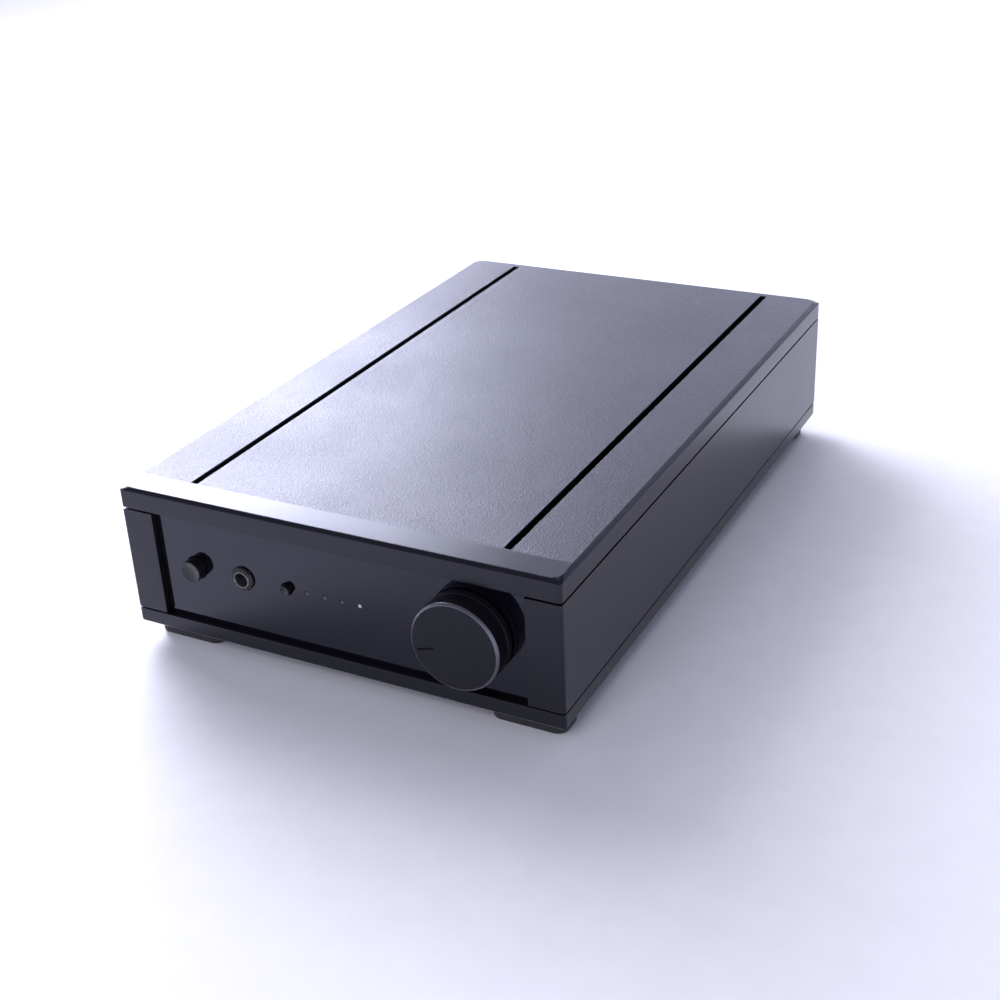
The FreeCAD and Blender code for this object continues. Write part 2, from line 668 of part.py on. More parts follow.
def volume_knob():
    face_y = PANEL_Y - KNOB_REACH
    back_y = PANEL_Y - KNOB_GAP
    radius = KNOB_DIAMETER / 2
    knob = rod_y(radius, KNOB_X, face_y, back_y, CONTROL_Z)
    knob = knob.makeChamfer(KNOB_CHAMFER, edges_at_y(knob, face_y))
    knob = knob.makeFillet(SOFT_EDGE, edges_at_y(knob, back_y))
    inner = radius - KNOB_WALL
    shaft_end = face_y + KNOB_FACE_WALL
    cuts = [rod_y(inner, KNOB_X, back_y - KNOB_NUT_ROOM, back_y, CONTROL_Z),
            ring_y(inner, KNOB_HUB_RADIUS, KNOB_X, back_y - KNOB_HOLLOW, back_y, CONTROL_Z),
            rod_y(SHAFT_RADIUS, KNOB_X, shaft_end, back_y, CONTROL_Z),
            Part.makeCylinder(GRUB_RADIUS, radius, V(KNOB_X, knob_grub_y(), CONTROL_Z), -Z_AXIS),
            pointer_bar(POINTER_DEPTH)]
    return drilled(knob, cuts)


def knob_grub_y():
    return PANEL_Y - KNOB_GAP - KNOB_NUT_ROOM - GRUB_RADIUS - GRUB_MARGIN


def pointer_bar(depth):
    """A straight bar on the knob's face, standing on its rest angle."""
    face_y = PANEL_Y - KNOB_REACH
    half = POINTER_WIDTH / 2
    bar = block(POINTER_INNER, POINTER_OUTER, face_y, face_y + depth, -half, half)
    bar.rotate(V(0, 0, 0), Y_AXIS, -POINTER_ANGLE)
    bar.translate(V(KNOB_X, 0, CONTROL_Z))
    return bar


def knob_pointer():
    """The filled line, a hair below the knob's face."""
    face_y = PANEL_Y - KNOB_REACH
    above = rod_y(KNOB_DIAMETER, KNOB_X, face_y, face_y + POINTER_SUNK, CONTROL_Z)
    return pointer_bar(POINTER_DEPTH).cut(above)


def knob_grub_screw():
    y = knob_grub_y()
    tip_z = CONTROL_Z - SHAFT_RADIUS
    grub = rod_z(GRUB_RADIUS, KNOB_X, y, tip_z - GRUB_LENGTH, tip_z)
    return grub.cut(rod_z(GRUB_SOCKET_RADIUS, KNOB_X, y, tip_z - GRUB_LENGTH, tip_z - GRUB_LENGTH / 2))


def volume_shaft():
    start = PANEL_Y - KNOB_REACH + KNOB_FACE_WALL
    return rod_y(SHAFT_RADIUS, KNOB_X, start, INNER_FRONT_Y + POT_BORE_DEPTH - END_ROOM, CONTROL_Z)


def volume_potentiometer():
    body = centred(KNOB_X, POT_SIZE, INNER_FRONT_Y, INNER_FRONT_Y + POT_DEPTH, CONTROL_Z, POT_SIZE)
    body = body.makeChamfer(POT_CHAMFER, edges_at_y(body, INNER_FRONT_Y + POT_DEPTH))
    foot_z = CONTROL_Z - POT_SIZE / 2
    legs = []
    for dx in (-POT_TERMINAL_PITCH, 0, POT_TERMINAL_PITCH):
        for dy in POT_TERMINAL_ROWS:
            y = INNER_FRONT_Y + dy
            legs.append(centred(KNOB_X + dx, LEG_WIDTH, y, y + LEG_THICKNESS, foot_z, 2 * LEG_LENGTH))
    bore_end = INNER_FRONT_Y + POT_BORE_DEPTH
    bore = rod_y(SHAFT_RADIUS + SHAFT_FIT, KNOB_X, INNER_FRONT_Y, bore_end, CONTROL_Z)
    return fused([body] + legs).cut(bore)


def potentiometer_bush():
    return ring_y(POT_BUSH_RADIUS, SHAFT_RADIUS + SHAFT_FIT, KNOB_X, PANEL_Y - POT_BUSH_OUT,
                  INNER_FRONT_Y, CONTROL_Z)


def potentiometer_nut():
    nut = hexagon(POT_NUT_FLATS, POT_NUT_THICKNESS)
    nut = nut.cut(rod_z(POT_BUSH_RADIUS, 0, 0, 0, POT_NUT_THICKNESS))
    nut.rotate(V(0, 0, 0), X_AXIS, 90)
    nut.translate(V(KNOB_X, PANEL_Y, CONTROL_Z))
    return nut


# Push buttons

def dished_cap(x, radius, face_y, back_y, dish):
    """A round cap whose face is hollowed to the depth called dish, with a soft lip."""
    cap = rod_y(radius, x, face_y, back_y, CONTROL_Z)
    cap = cap.makeFillet(DISH_EDGE, edges_at_y(cap, face_y))
    rim = radius - DISH_LIP
    sphere_radius = (rim * rim + dish * dish) / (2 * dish)
    hollow = Part.makeSphere(sphere_radius, V(x, face_y + dish - sphere_radius, CONTROL_Z))
    return cap.cut(hollow)


def power_button():
    return dished_cap(POWER_X, POWER_RADIUS, PANEL_Y - POWER_REACH, INNER_FRONT_Y + POWER_BUTTON_DEPTH,
                      POWER_DISH)


def power_plunger():
    start = INNER_FRONT_Y + POWER_BUTTON_DEPTH
    end = INNER_FRONT_Y + POWER_SWITCH_SETBACK + PLUNGER_ENGAGED
    return centred(POWER_X, POWER_PLUNGER, start, end, CONTROL_Z, POWER_PLUNGER)


def power_switch():
    y0 = INNER_FRONT_Y + POWER_SWITCH_SETBACK
    y1 = y0 + POWER_SWITCH_LENGTH
    body = centred(POWER_X, POWER_SWITCH_SIZE, y0, y1, CONTROL_Z, POWER_SWITCH_SIZE)
    mouth = POWER_PLUNGER + 2 * PLUNGER_GAP
    tunnel_end = y0 + PLUNGER_ENGAGED + POWER_TRAVEL + END_ROOM
    tunnel = centred(POWER_X, mouth, y0, tunnel_end, CONTROL_Z, mouth)
    third = POWER_SWITCH_SIZE / 3
    tags = [centred(POWER_X + dx, LEG_WIDTH, y1, y1 + POWER_PLUNGER, CONTROL_Z + dz, third - END_ROOM)
            for dx in (-third, third) for dz in (-third, third)]
    return fused([body] + tags).cut(tunnel)


def power_switch_bracket():
    """A folded foot that carries the switch from the floor."""
    y0 = INNER_FRONT_Y + POWER_SWITCH_SETBACK
    top_z = CONTROL_Z - POWER_SWITCH_SIZE / 2
    x0 = POWER_X - POWER_SWITCH_SIZE / 2
    x1 = POWER_X + POWER_SWITCH_SIZE / 2
    shelf = block(x0, x1, y0, y0 + POWER_SWITCH_LENGTH, top_z - SHEET, top_z)
    leg = block(x0, x1, y0, y0 + SHEET, FLOOR_Z, top_z)
    toe = block(x0, x1, y0, y0 + BRACKET_TOE, FLOOR_Z, FLOOR_Z + SHEET)
    return fused([shelf, leg, toe])


def selector_button():
    """A small cap on the stem that works the switch behind it."""
    cap_end = INNER_FRONT_Y + SELECTOR_CAP_DEPTH
    cap = dished_cap(SELECTOR_X, SELECTOR_RADIUS, PANEL_Y - SELECTOR_REACH, cap_end, SELECTOR_DISH)
    tip = selector_bore_end() - SELECTOR_TRAVEL - PLUNGER_GAP
    stem = rod_y(SELECTOR_STEM_RADIUS, SELECTOR_X, cap_end, tip, CONTROL_Z)
    return fused([cap, stem])


def selector_bore_end():
    return FRONT_BOARD_Y - SELECTOR_SWITCH_FLOOR


def selector_switch():
    size = SELECTOR_SWITCH_SIZE
    y0 = FRONT_BOARD_Y - SELECTOR_SWITCH_DEPTH
    body = centred(SELECTOR_X, size, y0, FRONT_BOARD_Y, CONTROL_Z, size)
    radius = SELECTOR_STEM_RADIUS + PLUNGER_GAP
    return body.cut(rod_y(radius, SELECTOR_X, y0, selector_bore_end(), CONTROL_Z))


# Headphone socket

def headphone_socket_bush():
    outer_y = PANEL_Y - SOCKET_BUSH_OUT
    bush = rod_y(SOCKET_BUSH_RADIUS, SOCKET_X, outer_y, INNER_FRONT_Y, CONTROL_Z)
    bush = bush.makeFillet(SOFT_EDGE, edges_at_y(bush, outer_y))
    return bush.cut(rod_y(SOCKET_BORE, SOCKET_X, outer_y, INNER_FRONT_Y, CONTROL_Z))


def headphone_socket_nut():
    outer_y = PANEL_Y - SOCKET_NUT_THICKNESS
    nut = rod_y(SOCKET_NUT_RADIUS, SOCKET_X, outer_y, PANEL_Y, CONTROL_Z)
    nut = nut.makeFillet(SCREW_HEAD_ROUND, edges_at_y(nut, outer_y))
    return nut.cut(rod_y(SOCKET_BUSH_RADIUS, SOCKET_X, outer_y, PANEL_Y, CONTROL_Z))


def headphone_socket_body():
    y0 = INNER_FRONT_Y
    body = centred(SOCKET_X, SOCKET_BODY_SIZE, y0, y0 + SOCKET_BODY_LENGTH, CONTROL_Z, SOCKET_BODY_SIZE)
    return body.cut(rod_y(SOCKET_BORE + FIT, SOCKET_X, y0, y0 + SOCKET_DEPTH, CONTROL_Z))


# Lamps and front board

def input_lamp(x):
    """A light pipe flush with the panel on the lamp that stands on the front board."""
    pipe = rod_y(LAMP_RADIUS, x, PANEL_Y, FRONT_BOARD_Y, CONTROL_Z)
    lamp = rod_y(LAMP_BODY_RADIUS, x, INNER_FRONT_Y + LAMP_NECK, FRONT_BOARD_Y, CONTROL_Z)
    return fused([pipe, lamp])


def front_board_span():
    return (SELECTOR_X - FRONT_BOARD_MARGIN, LAMP_XS[-1] + FRONT_BOARD_MARGIN)


def front_board_corners():
    x0, x1 = front_board_span()
    inset = FRONT_BOARD_HOLE_INSET
    rise = FRONT_BOARD_HEIGHT / 2 - inset
    return [(x, CONTROL_Z + dz) for x in (x0 + inset, x1 - inset) for dz in (-rise, rise)]


def front_board():
    x0, x1 = front_board_span()
    back = FRONT_BOARD_Y + BOARD
    plate = centred((x0 + x1) / 2, x1 - x0, FRONT_BOARD_Y, back, CONTROL_Z, FRONT_BOARD_HEIGHT)
    holes = [rod_y(SCREW_RADIUS, x, FRONT_BOARD_Y, back, z) for x, z in front_board_corners()]
    return drilled(plate, holes)


# Rear

def rear_panel():
    half = LEAF_X - FIT
    plate = block(-half, half, INNER_BACK_Y, REAR_PANEL_Y, FLOOR_Z, CEILING_Z)
    cuts = [centred(INLET_X, INLET_BODY_WIDTH + 2 * FIT, INNER_BACK_Y, REAR_PANEL_Y, INLET_Z,
                    INLET_BODY_HEIGHT + 2 * FIT)]
    for x in LINE_XS:
        for z in (LINE_LOW_Z, LINE_HIGH_Z):
            cuts.append(rod_y(LINE_FOOT_RADIUS + FIT, x, INNER_BACK_Y, REAR_PANEL_Y, z))
    for x, z in rear_screw_points() + inlet_screw_points():
        cuts.append(rod_y(SCREW_RADIUS, x, INNER_BACK_Y, REAR_PANEL_Y, z))
    return drilled(plate, cuts)


def rear_screw_points():
    x = (PORT_X + INNER_X) / 2
    return [(side * x, BASE_Z + height) for side in (-1, 1) for height in (PORT_LOW, PORT_HIGH)]


def inlet_screw_points():
    return [(INLET_X + side * INLET_SCREW_SPACING, INLET_Z) for side in (-1, 1)]


def rear_screws():
    """The rear panel's four screws into the side walls' ports and the inlet's two."""
    seats = [(x, z, REAR_PANEL_Y) for x, z in rear_screw_points()]
    seats += [(x, z, INLET_FACE_Y) for x, z in inlet_screw_points()]
    return group([screw_from_behind(x, z, y, y - REAR_SCREW_LENGTH) for x, z, y in seats])


def inlet_cavity():
    """The socket's hollow, with two corners cut as on every connector of this pattern."""
    half = INLET_CAVITY_WIDTH / 2
    y = INLET_FACE_Y - INLET_CAVITY_DEPTH
    cut = INLET_CAVITY_CORNER
    outline = [(-half, CAVITY_FOOT_Z), (half, CAVITY_FOOT_Z), (half, CAVITY_TOP_Z - cut),
               (half - cut, CAVITY_TOP_Z), (cut - half, CAVITY_TOP_Z), (-half, CAVITY_TOP_Z - cut),
               (-half, CAVITY_FOOT_Z)]
    wire = Part.makePolygon([V(INLET_X + x, y, z) for x, z in outline])
    return Part.Face(wire).extrude(V(0, INLET_CAVITY_DEPTH, 0))


def mains_inlet():
    """One moulding: a flange on the rear panel, the connector's cavity and the fuse bay under it."""
    flange = centred(INLET_X, INLET_FLANGE_WIDTH, REAR_PANEL_Y, INLET_FACE_Y, INLET_Z,
                     INLET_FLANGE_HEIGHT)
    corners = [e for e in flange.Edges if e.BoundBox.YLength > INLET_FLANGE / 2]
    flange = flange.makeFillet(INLET_FLANGE_CORNER, corners)
    body = centred(INLET_X, INLET_BODY_WIDTH, INLET_FACE_Y - INLET_BODY_DEPTH, REAR_PANEL_Y, INLET_Z,
                   INLET_BODY_HEIGHT)
    bay = block(INLET_X - INLET_CAVITY_WIDTH / 2, INLET_X + INLET_CAVITY_WIDTH / 2,
                INLET_FACE_Y - DRAWER_DEPTH - DRAWER_GAP, INLET_FACE_Y, BAY_FOOT_Z, BAY_TOP_Z)
    cuts = [inlet_cavity(), bay]
    cuts += [rod_y(SCREW_RADIUS, x, REAR_PANEL_Y, INLET_FACE_Y, z) for x, z in inlet_screw_points()]
    return drilled(fused([flange, body]), cuts)


def inlet_pins():
    """Line, earth and neutral; the middle one stands higher."""
    start = INLET_FACE_Y - INLET_CAVITY_DEPTH
    tip = start + INLET_PIN_LENGTH
    pins = []
    for step, rise in ((-1, -1), (0, 1), (1, -1)):
        x = INLET_X + step * INLET_PIN_SPACING
        z = CAVITY_Z + rise * INLET_PIN_OFFSET
        pin = centred(x, INLET_PIN_WIDTH, start, tip, z, INLET_PIN_HEIGHT)
        pins.append(pin.makeChamfer(INLET_PIN_CHAMFER, edges_at_y(pin, tip)))
    return group(pins)


def fuse_drawer():
    """A tray for the fuse with a lip that is pulled with a fingernail."""
    half = INLET_CAVITY_WIDTH / 2 - DRAWER_GAP
    inner_y = INLET_FACE_Y - DRAWER_DEPTH
    lip_y = INLET_FACE_Y + DRAWER_GAP
    low = BAY_FOOT_Z + DRAWER_GAP
    high = BAY_TOP_Z - DRAWER_GAP
    tray = block(INLET_X - half, INLET_X + half, inner_y, lip_y, low, high)
    over = DRAWER_LIP_OVERLAP
    outer_y = lip_y + DRAWER_LIP
    lip = block(INLET_X - half - over, INLET_X + half + over, lip_y, outer_y, low - over, high + over)
    notch_y = outer_y + DRAWER_NOTCH_RADIUS - DRAWER_NOTCH_DEPTH
    notch = rod_z(DRAWER_NOTCH_RADIUS, INLET_X, notch_y, low - over, low - over + DRAWER_NOTCH_HEIGHT)
    nest_y = inner_y + DRAWER_WALL
    nest_half = FUSE_LENGTH / 2 + FIT
    nest = block(INLET_X - nest_half, INLET_X + nest_half, nest_y, nest_y + 2 * (FUSE_RADIUS + FIT),
                 fuse_z() - FUSE_RADIUS, BAY_TOP_Z)
    return drilled(fused([tray, lip]), [notch, nest])


def fuse_z():
    return BAY_TOP_Z - DRAWER_GAP - FUSE_RADIUS - FIT


def fuse():
    y = INLET_FACE_Y - DRAWER_DEPTH + DRAWER_WALL + FIT + FUSE_RADIUS
    start = V(INLET_X - FUSE_LENGTH / 2, y, fuse_z())
    return Part.makeCylinder(FUSE_RADIUS, FUSE_LENGTH, start, X_AXIS)


def line_sleeve(x, z):
    """A socket's outer shell, slimmer where it passes through the coloured ring and the panel."""
    step_y = REAR_PANEL_Y + LINE_RING_THICKNESS
    end = REAR_PANEL_Y + LINE_SLEEVE_REACH
    barrel = rod_y(LINE_SLEEVE_RADIUS, x, step_y, end, z)
    barrel = barrel.makeFillet(SOFT_EDGE, edges_at_y(barrel, end))
    stem = rod_y(LINE_FOOT_RADIUS, x, INNER_BACK_Y, step_y, z)
    return fused([barrel, stem]).cut(rod_y(LINE_SLEEVE_BORE, x, INNER_BACK_Y, end, z))


def line_sleeves():
    return group([line_sleeve(x, z) for x in LINE_XS for z in (LINE_LOW_Z, LINE_HIGH_Z)])


def line_insulators(z):
    """The coloured core inside each sleeve and the coloured ring around its foot."""
    end = REAR_PANEL_Y + LINE_SLEEVE_REACH - LINE_CORE_SUNK
    outer = REAR_PANEL_Y + LINE_RING_THICKNESS
    pieces = []
    for x in LINE_XS:
        pieces.append(ring_y(LINE_SLEEVE_BORE, LINE_PIN_RADIUS, x, INNER_BACK_Y, end, z))
        ring = rod_y(LINE_RING_RADIUS, x, REAR_PANEL_Y, outer, z)
        ring = ring.makeFillet(SOFT_EDGE, edges_at_y(ring, outer))
        pieces.append(ring.cut(rod_y(LINE_FOOT_RADIUS, x, REAR_PANEL_Y, outer, z)))
    return group(pieces)


def line_housings():
    """One moulded block behind each pair of line sockets, standing on the main board."""
    low = BOARD_TOP_Z
    high = LINE_HIGH_Z + LINE_HOUSING_WIDTH / 2
    half = LINE_HOUSING_WIDTH / 2
    y0 = INNER_BACK_Y - LINE_HOUSING_DEPTH
    return group([block(x - half, x + half, y0, INNER_BACK_Y, low, high) for x in LINE_XS])


# Inside

def toroidal_transformer():
    ring = ring_z(TOROID_RADIUS, TOROID_BORE, TOROID_X, TOROID_Y, TOROID_Z, TOROID_Z + TOROID_HEIGHT)
    outer = [e for e in ring.Edges if e.BoundBox.ZLength < TINY and e.BoundBox.XLength > TOROID_RADIUS]
    return ring.makeFillet(TOROID_EDGE, outer)


def transformer_pads():
    reach = TOROID_RADIUS - TOROID_EDGE
    top = TOROID_Z + TOROID_HEIGHT
    return group([ring_z(reach, BOLT_RADIUS + FIT, TOROID_X, TOROID_Y, FLOOR_Z, TOROID_Z),
                  ring_z(DISH_RADIUS, BOLT_RADIUS + FIT, TOROID_X, TOROID_Y, top, top + PAD)])


def transformer_dish():
    low = TOROID_Z + TOROID_HEIGHT + PAD
    return ring_z(DISH_RADIUS, BOLT_RADIUS + FIT, TOROID_X, TOROID_Y, low, low + DISH_THICKNESS)


def transformer_bolt():
    """A bolt from under the floor through the transformer's middle, with its nut on the dish."""
    nut_z = TOROID_Z + TOROID_HEIGHT + PAD + DISH_THICKNESS
    head_z = BASE_Z - BOLT_HEAD
    head = rod_z(BOLT_HEAD_RADIUS, TOROID_X, TOROID_Y, head_z, BASE_Z)
    head = head.makeFillet(SCREW_HEAD_ROUND, edges_at_z(head, head_z))
    shank = rod_z(BOLT_RADIUS, TOROID_X, TOROID_Y, BASE_Z - SCREW_JOIN, nut_z + BOLT_NUT + BOLT_END)
    nut = hexagon(BOLT_NUT_FLATS, BOLT_NUT)
    nut.translate(V(TOROID_X, TOROID_Y, nut_z))
    drive = cross_drive(TOROID_X, TOROID_Y, head_z, "z", BOLT_HEAD_RADIUS * DRIVE_SPAN)
    return fused([head, shank, nut]).cut(drive)


def board(outline):
    x0, x1, y0, y1 = outline
    plate = block(x0, x1, y0, y1, BOARD_Z, BOARD_TOP_Z)
    holes = [rod_z(SCREW_RADIUS, x, y, BOARD_Z, BOARD_TOP_Z) for x, y in board_hole_points(outline)]
    return drilled(plate, holes)


def board_standoffs():
    """Threaded spacers under the two flat boards and in front of the upright one."""
    spacers = []
    for x, y in standoff_points():
        spacers.append(ring_z(STANDOFF_RADIUS, SCREW_RADIUS, x, y, FLOOR_Z, BOARD_Z))
    for x, z in front_board_corners():
        spacers.append(ring_y(STANDOFF_RADIUS, SCREW_RADIUS, x, INNER_FRONT_Y, FRONT_BOARD_Y, z))
    return group(spacers)


def board_screws():
    rest = BOARD_SCREW_REST
    screws = [screw_from_above(x, y, BOARD_TOP_Z, FLOOR_Z + rest) for x, y in standoff_points()]
    for x, z in front_board_corners():
        screws.append(screw_from_behind(x, z, FRONT_BOARD_Y + BOARD, INNER_FRONT_Y + rest))
    return group(screws)


def filter_capacitors():
    """Reservoir cans in a row along the supply board's right side."""
    x0, x1, y0, y1 = SUPPLY_BOARD
    x = x1 - CAN_RADIUS - CAN_EDGE
    top_z = BOARD_TOP_Z + CAN_HEIGHT
    cans = []
    for i in range(CAN_COUNT):
        y = (y0 + y1) / 2 + (i - (CAN_COUNT - 1) / 2) * (2 * CAN_RADIUS + CAN_GAP)
        can = rod_z(CAN_RADIUS, x, y, BOARD_TOP_Z, top_z)
        cans.append(can.makeFillet(CAN_ROUND, edges_at_z(can, top_z)))
    return group(cans)


def heat_sink_span():
    return (MAIN_BOARD[0] + SINK_MARGIN, MAIN_BOARD[1] - SINK_MARGIN)


def heat_sink():
    """A finned bar standing near the main board's front edge, fins forward."""
    x0, x1 = heat_sink_span()
    back = MAIN_BOARD[2] + SINK_SETBACK
    top_z = BOARD_TOP_Z + SINK_HEIGHT
    bar = block(x0, x1, back - SINK_BAR, back, BOARD_TOP_Z, top_z)
    fins = []
    root = back - SINK_BAR
    for i in range(SINK_FINS):
        x = x0 + (x1 - x0 - FIN_THICKNESS) * i / (SINK_FINS - 1)
        fins.append(block(x, x + FIN_THICKNESS, root - SINK_REACH, root, BOARD_TOP_Z, top_z))
    return fused([bar] + fins)


def output_transistors():
    """Four flat packages clamped to the back of the heat sink, each on three legs."""
    x0, x1 = heat_sink_span()
    y = MAIN_BOARD[2] + SINK_SETBACK
    leg_z = BOARD_TOP_Z + LEG_LENGTH
    middle = y + TRANSISTOR_DEPTH / 2
    half = TRANSISTOR_WIDTH / 2
    packages = []
    for i in range(TRANSISTOR_COUNT):
        x = x0 + (x1 - x0) * (i + 0.5) / TRANSISTOR_COUNT
        pieces = [block(x - half, x + half, y, y + TRANSISTOR_DEPTH, leg_z, leg_z + TRANSISTOR_HEIGHT)]
        for dx in (-LEG_PITCH, 0, LEG_PITCH):
            left = x + dx - LEG_WIDTH / 2
            pieces.append(block(left, left + LEG_WIDTH, middle, middle + LEG_THICKNESS,
                                BOARD_TOP_Z, leg_z))
        packages.append(fused(pieces))
    return group(packages)


def relay_back_y():
    return INNER_BACK_Y - LINE_HOUSING_DEPTH - RELAY_SETBACK


def input_relays():
    """One relay in front of each pair of input sockets."""
    y1 = relay_back_y()
    half = RELAY_WIDTH / 2
    top_z = BOARD_TOP_Z + RELAY_HEIGHT
    return group([block(x - half, x + half, y1 - RELAY_LENGTH, y1, BOARD_TOP_Z, top_z)
                  for x in LINE_XS[1:]])


def small_capacitors():
    """Coupling and supply capacitors halfway between the transistors and the relays."""
    transistors_y = MAIN_BOARD[2] + SINK_SETBACK + TRANSISTOR_DEPTH
    y = (transistors_y + relay_back_y() - RELAY_LENGTH) / 2
    x0 = MAIN_BOARD[0] + SMALL_CAN_MARGIN
    x1 = MAIN_BOARD[1] - SMALL_CAN_MARGIN
    top_z = BOARD_TOP_Z + SMALL_CAN_HEIGHT
    cans = []
    for i in range(SMALL_CAN_COUNT):
        x = x0 + (x1 - x0) * i / (SMALL_CAN_COUNT - 1)
        can = rod_z(SMALL_CAN_RADIUS, x, y, BOARD_TOP_Z, top_z)
        cans.append(can.makeFillet(SMALL_CAN_ROUND, edges_at_z(can, top_z)))
    return group(cans)


def rectifier():
    """The bridge rectifier's square block, near the transformer's leads."""
    x = SUPPLY_BOARD[0] + RECTIFIER_INSET[0]
    y = SUPPLY_BOARD[2] + RECTIFIER_INSET[1]
    size = RECTIFIER_SIZE
    return block(x, x + size, y, y + size, BOARD_TOP_Z, BOARD_TOP_Z + RECTIFIER_HEIGHT)


def ribbon_ends():
    """Where the ribbon leaves the front board and where it reaches the main board."""
    start = V(RIBBON_X, FRONT_BOARD_Y + BOARD + HEADER_LENGTH, CONTROL_Z)
    end = V(RIBBON_X, MAIN_BOARD[2] + HEADER_MARGIN, BOARD_TOP_Z + HEADER_LENGTH)
    return start, end


def ribbon_connectors():
    """The two headers that the ribbon plugs into."""
    start, end = ribbon_ends()
    half = RIBBON_WIDTH / 2 + HEADER_MARGIN
    front = centred(RIBBON_X, 2 * half, FRONT_BOARD_Y + BOARD, start.y, start.z, HEADER_HEIGHT)
    rear = block(RIBBON_X - half, RIBBON_X + half, end.y, end.y + HEADER_HEIGHT, BOARD_TOP_Z,
                 end.z + HEADER_HEIGHT / 2)
    return group([front, rear])


def ribbon_cable():
    """A flat cable down to the floor and back between the transformer and the supply board."""
    start, end = ribbon_ends()
    low = FLOOR_Z + RIBBON_FLOOR_GAP
    drop_y = start.y + RIBBON_DROP
    rise_y = MAIN_BOARD[2] - RIBBON_RISE
    points = [start, V(RIBBON_X, drop_y, start.z), V(RIBBON_X, drop_y, low),
              V(RIBBON_X, rise_y, low), V(RIBBON_X, rise_y, end.z), end]
    half = RIBBON_WIDTH / 2
    thick = RIBBON_THICKNESS / 2
    section = [(-half, -thick), (half, -thick), (half, thick), (-half, thick), (-half, -thick)]
    profile = Part.makePolygon([V(RIBBON_X + dx, start.y, start.z + dz) for dx, dz in section])
    return bent_wire(points, RIBBON_BEND).makePipeShell([profile], True, False)


def mains_lead():
    """The sleeved mains pair from the inlet to the power switch, along the left wall."""
    start_y = INLET_FACE_Y - INLET_BODY_DEPTH
    end_y = INNER_FRONT_Y + POWER_SWITCH_SETBACK + POWER_SWITCH_LENGTH
    wall_x = -INNER_X + WIRE_RADIUS + FIT
    shelf_z = BASE_Z + PORT_LOW + PORT_HEIGHT / 2 + WIRE_RADIUS + FIT
    points = [V(INLET_X, start_y, INLET_Z), V(INLET_X, start_y - LEAD_STUB, INLET_Z),
              V(wall_x, start_y - LEAD_SWEEP, shelf_z), V(wall_x, end_y + LEAD_SWEEP, shelf_z),
              V(POWER_X, end_y + LEAD_STUB, CONTROL_Z), V(POWER_X, end_y, CONTROL_Z)]
    return lead(points)


def transformer_lead():
    """The sleeved secondary leads from the transformer's edge to the supply board."""
    x0 = TOROID_X + TOROID_RADIUS
    x1 = SUPPLY_BOARD[0] + BOARD_HOLE_MARGIN
    z = TOROID_Z + TOROID_HEIGHT / 2
    return lead([V(x0, TOROID_Y, z), V(x1, TOROID_Y, z), V(x1, TOROID_Y, BOARD_TOP_Z)])


def nodes():
    """Every sub-part by its name."""
    made = {
        "lid": lid(), "base_tray": base_tray(),
        "side_wall_left": side_wall(-1), "side_wall_right": side_wall(1),
        "front_panel": front_panel(), "front_subpanel": front_subpanel(), "rear_panel": rear_panel(),
        "foot_screws": foot_screws(), "case_screws": case_screws(),
        "volume_knob": volume_knob(), "knob_pointer": knob_pointer(),
        "knob_grub_screw": knob_grub_screw(), "volume_shaft": volume_shaft(),
        "volume_potentiometer": volume_potentiometer(),
        "potentiometer_bush": potentiometer_bush(), "potentiometer_nut": potentiometer_nut(),
        "power_button": power_button(), "power_plunger": power_plunger(),
        "power_switch": power_switch(), "power_switch_bracket": power_switch_bracket(),
        "selector_button": selector_button(), "selector_switch": selector_switch(),
        "headphone_socket_bush": headphone_socket_bush(), "headphone_socket_nut": headphone_socket_nut(),
        "headphone_socket_body": headphone_socket_body(),
        "front_board": front_board(),
        "rear_screws": rear_screws(), "mains_inlet": mains_inlet(), "inlet_pins": inlet_pins(),
        "fuse_drawer": fuse_drawer(), "fuse": fuse(),
        "line_sleeves": line_sleeves(), "line_insulators_red": line_insulators(LINE_LOW_Z),
        "line_insulators_white": line_insulators(LINE_HIGH_Z), "line_housings": line_housings(),
        "toroidal_transformer": toroidal_transformer(), "transformer_pads": transformer_pads(),
        "transformer_dish": transformer_dish(), "transformer_bolt": transformer_bolt(),
        "supply_board": board(SUPPLY_BOARD), "main_board": board(MAIN_BOARD),
        "board_standoffs": board_standoffs(), "board_screws": board_screws(),
        "filter_capacitors": filter_capacitors(), "small_capacitors": small_capacitors(),
        "rectifier": rectifier(), "heat_sink": heat_sink(), "output_transistors": output_transistors(),
        "input_relays": input_relays(),
        "ribbon_cable": ribbon_cable(), "ribbon_connectors": ribbon_connectors(),
        "internal_leads": group([mains_lead(), transformer_lead()]),
    }
    for name, (x, y) in zip(("foot_front_left", "foot_front_right", "foot_rear_left", "foot_rear_right"),
                            foot_points()):
        made[name] = foot(x, y)
    return made


def lamps():
    return {"input_lamp_%d" % (i + 1): input_lamp(x) for i, x in enumerate(LAMP_XS)}


os.makedirs("parts", exist_ok=True)
for name, shape in {**nodes(), **lamps()}.items():
    if not shape.isValid() or not shape.Solids:
        raise ValueError("not a valid solid: " + name)
    shape.exportStep("parts/" + name + ".step")
    print(name, len(shape.Solids), round(shape.Volume, 1))
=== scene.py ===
import json
import math
import random

import bmesh
import bpy
from mathutils import Matrix, Vector


